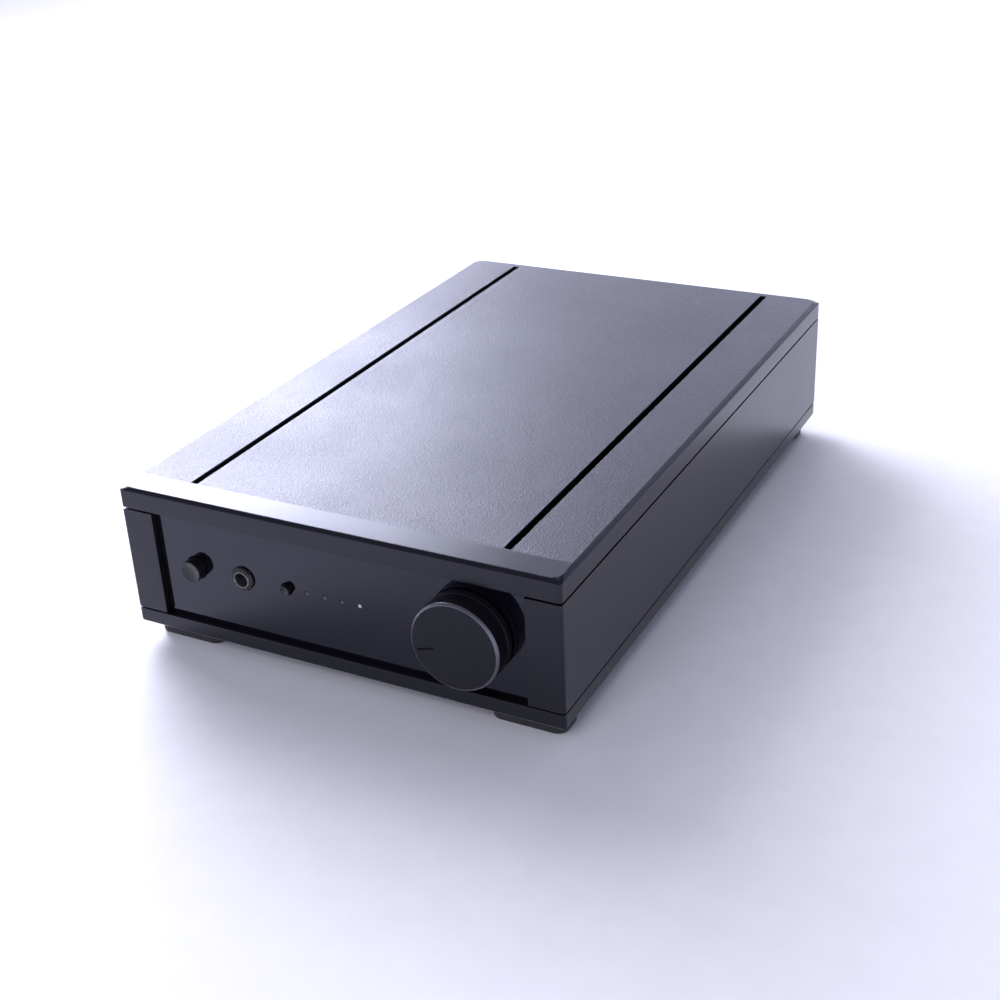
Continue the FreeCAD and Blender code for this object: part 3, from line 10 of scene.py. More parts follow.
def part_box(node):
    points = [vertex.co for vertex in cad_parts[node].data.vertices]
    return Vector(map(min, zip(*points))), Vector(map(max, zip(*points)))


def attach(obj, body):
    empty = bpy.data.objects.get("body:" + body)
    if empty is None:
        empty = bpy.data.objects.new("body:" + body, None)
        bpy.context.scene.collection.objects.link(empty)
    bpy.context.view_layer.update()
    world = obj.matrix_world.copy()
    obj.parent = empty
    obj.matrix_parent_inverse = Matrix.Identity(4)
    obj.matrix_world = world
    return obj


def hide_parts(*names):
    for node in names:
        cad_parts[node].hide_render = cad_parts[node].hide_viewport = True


# Headphone amplifier, half width. Sizes are millimetres in the row frame; MM turns them into metres.

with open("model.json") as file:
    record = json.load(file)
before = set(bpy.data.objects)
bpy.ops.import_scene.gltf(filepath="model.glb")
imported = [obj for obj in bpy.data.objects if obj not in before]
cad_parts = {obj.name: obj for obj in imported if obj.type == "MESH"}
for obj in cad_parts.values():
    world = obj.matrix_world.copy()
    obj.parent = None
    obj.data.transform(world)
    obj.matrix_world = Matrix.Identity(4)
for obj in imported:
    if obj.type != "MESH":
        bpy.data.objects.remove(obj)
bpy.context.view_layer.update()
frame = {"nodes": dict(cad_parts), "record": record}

MM = 0.001
scene = bpy.context.scene

# Main planes and edges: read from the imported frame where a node's box gives them


def low_high(node):
    low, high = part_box(node)
    return [v / MM for v in low], [v / MM for v in high]


LID_LOW, LID_HIGH = low_high("lid")
BASE_LOW, BASE_HIGH = low_high("base_tray")
PANEL_LOW, PANEL_HIGH = low_high("front_panel")
KNOB_LOW, KNOB_HIGH = low_high("volume_knob")
POWER_LOW, POWER_HIGH = low_high("power_button")
NUT_LOW = low_high("headphone_socket_nut")[0]
SELECTOR_LOW, SELECTOR_HIGH = low_high("selector_button")


def middle(node):
    low, high = low_high(node)
    return [(a + b) / 2 for a, b in zip(low, high)]


LAMP_XS = [middle("input_lamp_%d" % i)[0] for i in range(1, 5)]

HALF = LID_HIGH[0]
FRONT = LID_LOW[1]
BACK = LID_HIGH[1]
TOP = LID_HIGH[2]
LID_RIM = LID_LOW[2]
SKIN = 2.4
CEILING = TOP - SKIN
BASE = BASE_LOW[2]
BASE_RIM = BASE_HIGH[2]
FLOOR = BASE + 2.5
RIM_WALL = 2.8
EDGE_RADIUS = 1.8
SEAM = 0.8
PANEL = PANEL_LOW[1]
INNER_FRONT = FRONT + 7.5
INNER_BACK = BACK - 4.5
REAR_PANEL = BACK - 3.0
KNOB_X, _, CONTROL_Z = middle("volume_knob")
POWER_X = middle("power_button")[0]
SOCKET_X = middle("headphone_socket_nut")[0]
SELECTOR_X = middle("selector_button")[0]
SLOT_X = HALF - 30.6
SLOT_HALF_WIDTH = 1.8
BAND_END = FRONT + 14.5
LINE_XS = [80.4, 56.4, 32.4, 8.4, -15.6]
LINE_ZS = [33.6, 51.6]
INLET_X = -70.0
INLET_Z = 43.2
SIDE_INNER, SIDE_OUTER = 102.4, 105.02
PORT_X = 99.9
PORT_ZS = (BASE + 15.0, BASE + 56.0)
TOROID_X, TOROID_Y, TOROID_LOW, TOROID_HIGH = -47.9, -61.0, 13.1, 49.1
TOROID_INNER, TOROID_OUTER = 16.0, 47.5
TAPE_TURNS = 30


# Materials

class Nodes:
    """A small helper that adds and links shader nodes in one material."""

    def __init__(self):
        self.material = bpy.data.materials.new("finish")
        self.material.use_nodes = True
        self.tree = self.material.node_tree
        self.shader = self.tree.nodes["Principled BSDF"]
        self.coords = None

    def add(self, kind, **settings):
        node = self.tree.nodes.new(kind)
        for key, value in settings.items():
            setattr(node, key, value)
        return node

    def link(self, out, into):
        self.tree.links.new(out, into)

    def feed(self, socket, value):
        if isinstance(value, bpy.types.NodeSocket):
            self.link(value, socket)
        else:
            socket.default_value = value

    def place(self, stretch=(1, 1, 1)):
        """Row-frame coordinates in metres, stretched along the axes."""
        if self.coords is None:
            self.coords = self.add("ShaderNodeTexCoord")
        mapping = self.add("ShaderNodeMapping")
        mapping.inputs["Scale"].default_value = stretch
        self.link(self.coords.outputs["Object"], mapping.inputs["Vector"])
        return mapping.outputs["Vector"]

    def axis(self, index):
        split = self.add("ShaderNodeSeparateXYZ")
        self.link(self.place(), split.inputs[0])
        return split.outputs[index]

    def noise(self, scale, detail=3.0, rough=0.55, stretch=(1, 1, 1)):
        node = self.add("ShaderNodeTexNoise")
        node.inputs["Scale"].default_value = scale
        node.inputs["Detail"].default_value = detail
        node.inputs["Roughness"].default_value = rough
        self.link(self.place(stretch), node.inputs["Vector"])
        return node.outputs["Fac"]

    def cells(self, scale, feature="F1", stretch=(1, 1, 1)):
        node = self.add("ShaderNodeTexVoronoi", feature=feature)
        node.inputs["Scale"].default_value = scale
        self.link(self.place(stretch), node.inputs["Vector"])
        return node.outputs["Distance"]

    def math(self, operation, a, b=0.0, clamp=False):
        node = self.add("ShaderNodeMath", operation=operation, use_clamp=clamp)
        for socket, value in zip(node.inputs, (a, b, 0.0)):
            self.feed(socket, value)
        return node.outputs[0]

    def plus(self, a, b):
        return self.math("ADD", a, b)

    def times(self, a, b):
        return self.math("MULTIPLY", a, b)

    def spread(self, value, low, high, to_low=0.0, to_high=1.0):
        """A smooth step: to_low below low and to_high above high."""
        node = self.add("ShaderNodeMapRange", interpolation_type="SMOOTHSTEP")
        for key, v in (("Value", value), ("From Min", low), ("From Max", high), ("To Min", to_low),
                       ("To Max", to_high)):
            self.feed(node.inputs[key], v)
        return node.outputs[0]

    def mix(self, factor, a, b):
        node = self.add("ShaderNodeMix", data_type="RGBA")
        self.feed(node.inputs["Factor"], factor)
        self.feed(node.inputs[6], (*a, 1) if isinstance(a, tuple) else a)
        self.feed(node.inputs[7], (*b, 1) if isinstance(b, tuple) else b)
        return node.outputs[2]

    def blend(self, factor, a, b):
        """a where factor is 0 and b where it is 1, for numbers."""
        node = self.add("ShaderNodeMix", data_type="FLOAT")
        self.feed(node.inputs["Factor"], factor)
        self.feed(node.inputs[2], a)
        self.feed(node.inputs[3], b)
        return node.outputs[0]

    def bump(self, height, depth, strength=1.0):
        """Relief of this depth in metres."""
        node = self.add("ShaderNodeBump")
        self.feed(node.inputs["Strength"], strength)
        node.inputs["Distance"].default_value = depth
        self.link(height, node.inputs["Height"])
        return node.outputs[0]

    def attribute(self, name):
        node = self.add("ShaderNodeAttribute", attribute_name=name)
        return node.outputs["Fac"]

    def set(self, **values):
        names = {"color": "Base Color", "rough": "Roughness", "metal": "Metallic", "normal": "Normal",
                 "ior": "IOR", "coat": "Coat Weight", "coat_rough": "Coat Roughness",
                 "specular": "Specular IOR Level", "tint": "Specular Tint",
                 "transmission": "Transmission Weight", "glow": "Emission Color",
                 "glow_strength": "Emission Strength", "sheen": "Sheen Weight"}
        for key, value in values.items():
            if isinstance(value, tuple) and len(value) == 3:
                value = (*value, 1.0)
            self.feed(self.shader.inputs[names[key]], value)
        return self.material

    def from_axis(self, x, z):
        """Distance from the line along Y through x and z, in metres."""
        dx = self.math("SUBTRACT", self.axis(0), x * MM)
        dz = self.math("SUBTRACT", self.axis(2), z * MM)
        return self.math("SQRT", self.plus(self.times(dx, dx), self.times(dz, dz)))


def shade(color, factor):
    return tuple(min(1.0, c * factor) for c in color)


def plain(color, rough, metal=0.0, grain=900.0, relief=0.00002, stretch=(1, 1, 1), vary=0.18,
          rough_vary=0.08, wear=0.5, blotch=45.0, **fixed):
    """Most finishes: colour and roughness that drift, a grain with relief, edges rubbed brighter."""
    n = Nodes()
    fine = n.noise(grain, 4.0, 0.6, stretch)
    broad = n.noise(blotch, 3.0)
    tone = n.mix(n.spread(broad, 0.3, 0.7), shade(color, 1 - vary), shade(color, 1 + vary))
    tone = n.mix(n.spread(fine, 0.35, 0.7, 0.0, 0.5), tone, shade(color, 1 + 1.6 * vary))
    edge = n.times(n.attribute("edge"), n.spread(n.noise(260.0, 4.0), 0.42, 0.66))
    edge = n.times(edge, wear)
    rubbed = tuple(min(1.0, c * 1.5 + 0.035) for c in color)
    smudge = n.noise(22.0, 5.0, 0.65)
    base = n.spread(smudge, 0.32, 0.7, rough - rough_vary, rough + rough_vary)
    base = n.plus(base, n.spread(fine, 0.3, 0.7, -0.3 * rough_vary, 0.3 * rough_vary))
    base = n.math("SUBTRACT", base, n.times(edge, 0.12), clamp=True)
    return n.set(color=n.mix(edge, tone, rubbed), rough=base, metal=metal, normal=n.bump(fine, relief),
                 **fixed)


def case_paint():
    """Satin black with close bumps like orange peel, and a smoother band at the lid's front."""
    band_blur = 0.15
    top_edge = ((TOP - 1.0) * MM, (TOP - 0.6) * MM)
    n = Nodes()
    color = (0.0048, 0.0048, 0.0064)
    fine = n.noise(1700.0, 3.0, 0.6)
    pebble = n.cells(1150.0, "SMOOTH_F1")
    height = n.plus(n.times(fine, 0.7), n.times(pebble, 0.6))
    y = n.axis(1)
    z = n.axis(2)
    textured = n.spread(y, (BAND_END - band_blur) * MM, (BAND_END + band_blur) * MM)
    on_top = n.spread(z, *top_edge)
    grained = n.blend(on_top, 0.14, n.blend(textured, 0.12, 1.0))
    speck = n.plus(n.noise(1500.0, 2.0, 0.5), n.times(pebble, -0.25))
    speck = n.spread(speck, 0.42, 0.62)
    speck = n.times(speck, n.blend(grained, 0.15, 0.8))
    tone = n.mix(speck, shade(color, 0.75), shade(color, 2.1))
    tone = n.mix(n.spread(n.noise(30.0, 4.0), 0.35, 0.7, 0.0, 0.35), tone, shade(color, 1.5))
    edge = n.times(n.attribute("edge"), n.spread(n.noise(180.0, 4.0), 0.45, 0.7))
    edge = n.times(edge, 0.35)
    below = n.spread(z, *top_edge, 1.0, 0.0)
    rough = n.blend(below, n.blend(grained, 0.30, 0.40), 0.21)
    rough = n.plus(rough, n.spread(n.noise(14.0, 4.0, 0.6), 0.3, 0.7, -0.025, 0.03))
    rough = n.plus(rough, n.times(n.spread(fine, 0.35, 0.65, -0.05, 0.05), grained))
    return n.set(color=n.mix(edge, tone, (0.045, 0.045, 0.05)), rough=rough,
                 normal=n.bump(height, 0.00016, grained), ior=1.50, tint=(0.84, 0.85, 1.0))


def panel_gloss():
    """Polished black acrylic with faint wiping marks and a few hair scratches."""
    n = Nodes()
    smear = n.noise(16.0, 5.0, 0.6, (1.0, 1.0, 2.6))
    dust = n.cells(420.0)
    hair = n.noise(2400.0, 2.0, 0.5, (0.03, 1.0, 1.0))
    rough = n.spread(smear, 0.35, 0.7, 0.045, 0.12)
    rough = n.plus(rough, n.spread(hair, 0.62, 0.7, 0.0, 0.02))
    speck = n.spread(dust, 0.02, 0.06, 1.0, 0.0)
    color = n.mix(n.times(speck, 0.12), (0.0015, 0.0015, 0.003), (0.06, 0.06, 0.065))
    return n.set(color=color, rough=rough, ior=1.58, normal=n.bump(smear, 0.000006, 0.6),
                 tint=(0.82, 0.83, 1.0))


def turned(color, rough, metal, center, pitch, relief, rim, **fixed):
    """A lathe-turned or spun face: rings round the axis along Y at center, over a fine grain."""
    n = Nodes()
    rings = n.math("SINE", n.times(n.from_axis(*center), 2 * math.pi / (pitch * MM)))
    fine = n.noise(2600.0, 3.0, 0.6)
    height = n.plus(n.times(rings, 0.35), fine)
    tone = n.mix(n.spread(n.noise(60.0, 3.0), 0.35, 0.7), shade(color, 0.85), shade(color, 1.25))
    cut = n.times(n.attribute("edge"), n.spread(n.noise(120.0, 4.0), 0.2, 0.6, 0.7, 0.9))
    base = n.spread(n.noise(40.0, 4.0), 0.3, 0.7, rough - 0.04, rough + 0.05)
    base = n.plus(base, n.spread(fine, 0.3, 0.7, -0.03, 0.03))
    return n.set(color=n.mix(cut, tone, rim), rough=n.blend(cut, base, 0.27),
                 metal=n.blend(cut, metal, 1.0), normal=n.bump(height, relief, n.blend(cut, 1.0, 0.3)),
                 **fixed)


def board(color):
    """Circuit board: green resist over copper tracks, with pads and a fine glass weave."""
    n = Nodes()
    weave = n.add("ShaderNodeTexWave", wave_type="BANDS", bands_direction="X")
    weave.inputs["Scale"].default_value = 420.0
    n.link(n.place(), weave.inputs["Vector"])
    tracks = n.add("ShaderNodeTexBrick")
    for key, value in (("Scale", 130.0), ("Mortar Size", 0.035), ("Brick Width", 0.9),
                       ("Row Height", 0.22), ("Mortar Smooth", 0.1)):
        tracks.inputs[key].default_value = value
    n.link(n.place(), tracks.inputs["Vector"])
    track = n.spread(tracks.outputs["Fac"], 0.3, 0.7)
    pad = n.spread(n.cells(210.0), 0.14, 0.17, 1.0, 0.0)
    copper = n.mix(track, color, (color[0] * 2.4 + 0.03, color[1] * 1.7 + 0.03, color[2] * 1.5))
    tone = n.mix(n.times(pad, 0.8), copper, (0.55, 0.55, 0.52))
    rough = n.spread(weave.outputs["Fac"], 0.2, 0.8, 0.28, 0.4)
    relief = n.plus(n.times(track, 0.8), n.times(weave.outputs["Fac"], 0.2))
    return n.set(color=tone, rough=rough, metal=n.times(pad, 0.8),
                 normal=n.bump(relief, 0.00003))


def taped():
    """Amber tape wound through the ring: overlapping turns round the transformer's axis, with painted
    shade at the foot of each lap.
    """
    n = Nodes()
    dx = n.math("SUBTRACT", n.axis(0), TOROID_X * MM)
    dy = n.math("SUBTRACT", n.axis(1), TOROID_Y * MM)
    angle = n.math("ARCTAN2", dy, dx)
    turn = n.times(angle, TAPE_TURNS / (2 * math.pi))
    turn = n.plus(turn, n.times(n.axis(2), 22.0))
    lap = n.math("FRACT", turn)
    edge = n.spread(lap, 0.0, 0.07, 1.0, 0.0)
    crease = n.noise(150.0, 5.0, 0.7, (1.0, 1.0, 0.4))
    # Each turn's amber deepens toward the low foot of its lap step, with a dark line at the foot: painted
    # shade where one turn tucks under the last.
    tone = n.mix(lap, (0.34, 0.17, 0.018), (0.62, 0.37, 0.06))
    tone = n.mix(n.times(edge, 0.6), tone, (0.16, 0.07, 0.01))
    height = n.plus(lap, n.times(crease, 0.35))
    rough = n.spread(crease, 0.3, 0.7, 0.16, 0.36)
    return n.set(color=tone, rough=rough, normal=n.bump(height, 0.00035), coat=0.4, coat_rough=0.12)


def ribbed(color, count_per_metre, axis):
    """Flat cable: round conductors side by side, with a marked one, and painted shade in the grooves
    between them.
    """
    n = Nodes()
    across = n.axis(axis)
    wave = n.math("SINE", n.times(across, 2 * math.pi * count_per_metre))
    rib = n.spread(wave, -1.0, 0.6)
    stripe = n.spread(across, 0.0043, 0.0044, 1.0, 0.0)
    # Painted shade: the grooves between conductors are darkened, and the crowns are painted slightly
    # lighter as a highlight.
    tone = n.mix(rib, shade(color, 0.6), shade(color, 1.1))
    tone = n.mix(stripe, tone, (0.35, 0.03, 0.03))
    rough = n.spread(n.noise(90.0, 3.0), 0.3, 0.7, 0.42, 0.55)
    return n.set(color=tone, rough=rough, normal=n.bump(rib, 0.0003))


def braided(color):
    """Woven sleeving: two families of threads crossing, with painted highlights on the thread crowns and
    painted shade in the gaps.
    """
    n = Nodes()
    cells = n.cells(900.0, "SMOOTH_F1", (1.0, 0.45, 1.0))
    fuzz = n.noise(2400.0, 3.0)
    height = n.plus(n.times(cells, -1.0), n.times(fuzz, 0.2))
    # Painted highlight on the raised thread crowns and painted shade in the gaps between threads.
    tone = n.mix(n.spread(cells, 0.1, 0.6), shade(color, 1.7), shade(color, 0.5))
    rough = n.spread(fuzz, 0.3, 0.7, 0.55, 0.72)
    return n.set(color=tone, rough=rough, normal=n.bump(height, 0.0003), sheen=0.15)


def lamp(lit):
    """A clear light pipe's flat end: a bright core that fades to the rim when lit, and a faint painted
    glow when unlit.
    """
    n = Nodes()
    ripple = n.noise(1500.0, 3.0)
    if not lit:
        tone = n.mix(n.spread(ripple, 0.3, 0.7), (0.008, 0.008, 0.010), (0.018, 0.018, 0.022))
        rough = n.spread(ripple, 0.3, 0.7, 0.10, 0.22)
        # Unlit, the pipe still gets a faint emission: painted light, since no lamp inside is on.
        return n.set(color=tone, rough=rough, coat=0.6, coat_rough=0.06, normal=n.bump(ripple, 0.00003),
                     glow=(0.35, 0.38, 0.5), glow_strength=0.008)
    core = n.spread(n.from_axis(LAMP_XS[3], CONTROL_Z), 0.0001, 0.0010, 1.0, 0.0)
    tone = n.mix(n.spread(ripple, 0.3, 0.7), (0.06, 0.062, 0.07), (0.10, 0.10, 0.12))
    glow = n.mix(core, (0.05, 0.055, 0.085), (0.95, 0.97, 1.0))
    rough = n.spread(ripple, 0.3, 0.7, 0.12, 0.24)
    return n.set(color=tone, rough=rough, coat=0.6, coat_rough=0.06, normal=n.bump(ripple, 0.00003),
                 glow=glow, glow_strength=0.5)


def clear_glass():
    n = Nodes()
    wave = n.noise(240.0, 3.0)
    tone = n.mix(n.spread(wave, 0.3, 0.7), (0.80, 0.86, 0.86), (0.92, 0.95, 0.95))
    rough = n.spread(wave, 0.3, 0.7, 0.02, 0.07)
    return n.set(color=tone, rough=rough, transmission=0.9, ior=1.5,
                 normal=n.bump(wave, 0.00002))


def make_materials():
    """One finish for each material slot, and a darker copy of nickel for the headphone barrel, painted
    shade for its place inside the ring.
    """
    made = {
        "case_paint": case_paint(),
        "panel_gloss": panel_gloss(),
        "rear_paint": plain((0.013, 0.013, 0.015), 0.48, grain=1300.0, relief=0.00005,
                            vary=0.3),
        "sheet_steel": plain((0.50, 0.50, 0.52), 0.32, 1.0, 500.0, 0.00002,
                             (1, 1, 0.06), 0.1, blotch=90.0),
        "screw_steel": plain((0.56, 0.56, 0.58), 0.28, 1.0, 1400.0, 0.00001, vary=0.12),
        "screw_black": plain((0.035, 0.035, 0.04), 0.36, 1.0, 1500.0, 0.00002, vary=0.3,
                             wear=0.9),
        "foot_rubber": plain((0.020, 0.020, 0.022), 0.72, grain=800.0, relief=0.00008,
                             vary=0.25, wear=0.35, sheen=0.08),
        "knob_anodised": turned((0.0060, 0.0060, 0.0078), 0.36, 0.15,
                                (KNOB_X, CONTROL_Z), 0.28, 0.000022, (0.19, 0.19, 0.205),
                                specular=0.36, tint=(0.88, 0.88, 1.0)),
        "pointer_black": plain((0.0012, 0.0012, 0.0014), 0.55, grain=1500.0, relief=0.00001,
                               wear=0.0, specular=0.12),
        "shaft_steel": plain((0.5, 0.5, 0.52), 0.25, 1.0, 900.0, 0.00001, (1, 30, 1)),
        "nickel": plain((0.62, 0.60, 0.57), 0.18, 1.0, 1200.0, 0.00001, vary=0.08,
                        rough_vary=0.05),
        # A darker, rougher copy of nickel: painted shade for the barrel sitting inside the socket ring.
        "nickel_painted_shade": plain((0.16, 0.155, 0.16), 0.34, 0.8, 1200.0, 0.00001, vary=0.12),
        "bush_brass": plain((0.60, 0.44, 0.17), 0.28, 1.0, 900.0, 0.00001, (1, 1, 20),
                            0.12),
        "button_black": plain((0.005, 0.005, 0.0065), 0.30, grain=2000.0,
                              relief=0.00002, vary=0.2),
        "socket_black": plain((0.012, 0.012, 0.013), 0.40, grain=1500.0, relief=0.00003,
                              vary=0.25),
        "plunger_white": plain((0.66, 0.65, 0.60), 0.42, vary=0.06),
        "lamp_clear": lamp(False),
        "lamp_lit": lamp(True),
        "board_green": board((0.012, 0.085, 0.03)),
        "insulator_red": plain((0.42, 0.012, 0.012), 0.34, grain=1400.0, vary=0.12),
        "insulator_white": plain((0.70, 0.70, 0.67), 0.36, grain=1400.0, vary=0.05),
        "transformer_wrap": taped(),
        "can_sleeve": plain((0.010, 0.022, 0.075), 0.26, grain=600.0, vary=0.15, coat=0.3,
                            coat_rough=0.1),
        "sink_aluminium": plain((0.03, 0.03, 0.033), 0.38, 0.6, 700.0, 0.00003,
                                (1, 1, 0.05)),
        "package_black": plain((0.02, 0.02, 0.02), 0.5, grain=1800.0, relief=0.00003,
                               vary=0.2),
        "ribbon_grey": ribbed((0.34, 0.34, 0.36), 1000.0, 0),
        "lead_sleeve": braided((0.02, 0.02, 0.021)),
        "fuse_glass": clear_glass(),
    }
    for name, material in made.items():
        material.name = name
    return made


MATERIALS = make_materials()
SLOT_OF = {part["node"]: part["material_slot"] for part in frame["record"]["subparts"]}


# Mesh code

def ring_count(radius):
    return 96 if radius > 6 else 64 if radius > 2 else 40


def object_from(name, bm):
    bmesh.ops.remove_doubles(bm, verts=bm.verts, dist=1e-7)
    bmesh.ops.recalc_face_normals(bm, faces=bm.faces)
    mesh = bpy.data.meshes.new(name)
    bm.to_mesh(mesh)
    bm.free()
    piece = bpy.data.objects.new(name, mesh)
    scene.collection.objects.link(piece)
    return piece


def rounded_loop(x0, x1, y0, y1, radius, z, steps=8):
    """Corner points of a rectangle with round corners, anticlockwise, always the same count."""
    points = []
    for cx, cy, start in ((x1 - radius, y0 + radius, -90), (x1 - radius, y1 - radius, 0),
                          (x0 + radius, y1 - radius, 90), (x0 + radius, y0 + radius, 180)):
        for i in range(steps + 1):
            angle = math.radians(start + 90 * i / steps)
            points.append((cx + radius * math.cos(angle), cy + radius * math.sin(angle), z))
    return points


def loft(bm, loops, turn=None):
    """Skins loops of points, closes both ends and returns the new vertices."""
    rows = []
    for loop in loops:
        row = []
        for point in loop:
            at = Vector(point) * MM
            row.append(bm.verts.new(turn @ at if turn else at))
        rows.append(row)
    for a, b in zip(rows, rows[1:]):
        for i in range(len(a)):
            j = (i + 1) % len(a)
            bm.faces.new((a[i], a[j], b[j], b[i]))
    bm.faces.new(list(reversed(rows[0])))
    bm.faces.new(rows[-1])
    return [v for row in rows for v in row]


def box_into(bm, x0, x1, y0, y1, z0, z1):
    loft(bm, [[(x0, y0, z), (x1, y0, z), (x1, y1, z), (x0, y1, z)] for z in (z0, z1)])


def soft_box_into(bm, x0, x1, y0, y1, z0, z1, edge):
    """A box whose twelve edges are rounded off."""
    made = bmesh.new()
    box_into(made, x0, x1, y0, y1, z0, z1)
    bmesh.ops.bevel(made, geom=made.edges[:], offset=edge * MM, segments=2, profile=0.6,
                    affect="EDGES")
    join_into(bm, made)


def join_into(bm, other):
    mesh = bpy.data.meshes.new("scratch")
    other.to_mesh(mesh)
    other.free()
    bm.from_mesh(mesh)
    bpy.data.meshes.remove(mesh)


def rod_into(bm, radius, a, b, steps=None):
    """A round rod between two points."""
    start, end = Vector(a), Vector(b)
    turn = (end - start).to_track_quat("Z", "Y")
    count = steps or ring_count(radius)
    loops = []
    for point in (start, end):
        loop = []
        for i in range(count):
            angle = 2 * math.pi * i / count
            offset = turn @ Vector((radius * math.cos(angle), radius * math.sin(angle), 0))
            loop.append(tuple(point + offset))
        loops.append(loop)
    loft(bm, loops)


def rounded_profile(points, radii, steps=4):
    """Replaces each corner of a closed outline by an arc that fits the two edges there."""
    out = []
    count = len(points)
    for i, (point, radius) in enumerate(zip(points, radii)):
        if radius <= 0:
            out.append(point)
            continue
        p = Vector(point)
        before = Vector(points[i - 1]) - p
        after = Vector(points[(i + 1) % count]) - p
        size = min(radius, 0.45 * before.length, 0.45 * after.length)
        a = p + before.normalized() * size
        b = p + after.normalized() * size
        for k in range(steps + 1):
            t = k / steps
            out.append(tuple(a * (1 - t) ** 2 + p * 2 * t * (1 - t) + b * t * t))
    return out


def spin_into(bm, profile, count, place):
    """Turns a closed outline of (radius, distance) round an axis. place(a, b, distance) gives a point."""
    rows = []
    for radius, dist in profile:
        if radius < 1e-6:
            rows.append([bm.verts.new(Vector(place(0, 0, dist)) * MM)] * count)
            continue
        row = []
        for i in range(count):
            angle = 2 * math.pi * i / count
            at = place(radius * math.cos(angle), radius * math.sin(angle), dist)
            row.append(bm.verts.new(Vector(at) * MM))
        rows.append(row)
    for a, b in zip(rows, rows[1:] + rows[:1]):
        for i in range(count):
            j = (i + 1) % count
            corners = list(dict.fromkeys((a[i], a[j], b[j], b[i])))
            if len(corners) > 2:
                bm.faces.new(corners)


def lathe_into(bm, profile, x, z, steps):
    """Turns an outline round the line along Y through x and z."""
    spin_into(bm, profile, steps, lambda a, b, dist: (x + a, dist, z + b))


def mesh_piece(name, build):
    bm = bmesh.new()
    build(bm)
    return object_from(name, bm)


def combine(piece, others, operation):
    """Cuts the others from the piece, or joins them to it, and removes them."""
    for other in others:
        modifier = piece.modifiers.new("combine", "BOOLEAN")
        modifier.operation = operation
        modifier.solver = "EXACT"
        modifier.object = other
    bpy.context.view_layer.update()
    graph = bpy.context.evaluated_depsgraph_get()
    mesh = bpy.data.meshes.new_from_object(piece.evaluated_get(graph))
    piece.modifiers.clear()
    old = piece.data
    piece.data = mesh
    bpy.data.meshes.remove(old)
    for other in others:
        data = other.data
        bpy.data.objects.remove(other)
        bpy.data.meshes.remove(data)
    return piece


def carve(piece, builders):
    return combine(piece, [mesh_piece("cutter", b) for b in builders], "DIFFERENCE")


def weld(piece, builders):
    return combine(piece, [mesh_piece("extra", b) for b in builders], "UNION")


def soften(piece, width, segments=2, angle=34.0):
    """Rounds every sharp edge and marks the new faces, where the finish wears first."""
    bm = bmesh.new()
    bm.from_mesh(piece.data)
    bmesh.ops.remove_doubles(bm, verts=bm.verts, dist=2e-6)
    bmesh.ops.dissolve_limit(bm, angle_limit=math.radians(0.6), verts=bm.verts, edges=bm.edges)
    layer = bm.faces.layers.int.get("fresh") or bm.faces.layers.int.new("fresh")
    for face in bm.faces:
        face[layer] = 0
    sharp = [e for e in bm.edges if e.is_manifold and e.calc_face_angle(0) > math.radians(angle)]
    if width > 0 and sharp:
        made = bmesh.ops.bevel(bm, geom=sharp, offset=width * MM, segments=segments, profile=0.6,
                               affect="EDGES", clamp_overlap=True)
        for face in made["faces"]:
            face[layer] = 1
    corner = bm.loops.layers.float.new("edge")
    for face in bm.faces:
        for loop in face.loops:
            loop[corner] = float(face[layer])
    bm.faces.layers.int.remove(layer)
    bm.to_mesh(piece.data)
    bm.free()
    return piece


def mark_edge(piece, chosen):
    """Marks the faces that chosen(centre, normal) picks as worn or cut edge."""
    layer = piece.data.attributes["edge"]
    for polygon in piece.data.polygons:
        if chosen(polygon.center, polygon.normal):
            for index in polygon.loop_indices:
                layer.data[index].value = 1.0


def smooth(piece, angle=32.0):
    mesh = piece.data
    mesh.polygons.foreach_set("use_smooth", [True] * len(mesh.polygons))
    mesh.set_sharp_from_angle(angle=math.radians(angle))
    weighted = piece.modifiers.new("normals", "WEIGHTED_NORMAL")
    weighted.keep_sharp = True


def dress(piece, slot_name, body, replaced=(), angle=32.0, finish=None):
    """Gives a piece its finish, its body and the frame nodes that it stands for."""
    smooth(piece, angle)
    piece.data.materials.clear()
    piece.data.materials.append(MATERIALS[finish or slot_name])
    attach(piece, body)
    if replaced:
        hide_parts(*replaced)


def rod_y(radius, x, y0, y1, z):
    return lambda bm: rod_into(bm, radius, (x, y0, z), (x, y1, z))


def rod_z(radius, x, y, z0, z1):
    return lambda bm: rod_into(bm, radius, (x, y, z0), (x, y, z1))


def box(x0, x1, y0, y1, z0, z1):
    return lambda bm: box_into(bm, x0, x1, y0, y1, z0, z1)


def lathe(profile, x, z, steps):
    return lambda bm: lathe_into(bm, profile, x, z, steps)


def case_shell(levels):
    """A closed body on the case's outline. Each level is a height, an inset and a corner radius."""
    return lambda bm: loft(bm, [rounded_loop(-HALF + i, HALF - i, FRONT + i, BACK - i, r, z)
                                for z, i, r in levels])


def case_hollow(low, high):
    """Everything inside the rim's walls between two heights."""
    return box(-HALF + RIM_WALL, HALF - RIM_WALL, FRONT + RIM_WALL, BACK - RIM_WALL, low, high)


# Case

SCREW_SPOTS = [(side * 93.0, y) for side in (-1, 1) for y in (FRONT + 32.0, BACK - 32.0)]
FOOT_SPOTS = [(side * 86.75, y) for y in (FRONT + 15.0, BACK - 15.0) for side in (-1, 1)]
FOOT_NODES = ["foot_front_left", "foot_front_right", "foot_rear_left", "foot_rear_right"]


RIB_DEPTH, RIB_HALF, RIB_SADDLE = 4.0, 1.5, 2.2
BOSS_RADIUS, BOSS_DEPTH = 4.0, 8.0
SINK = 0.4


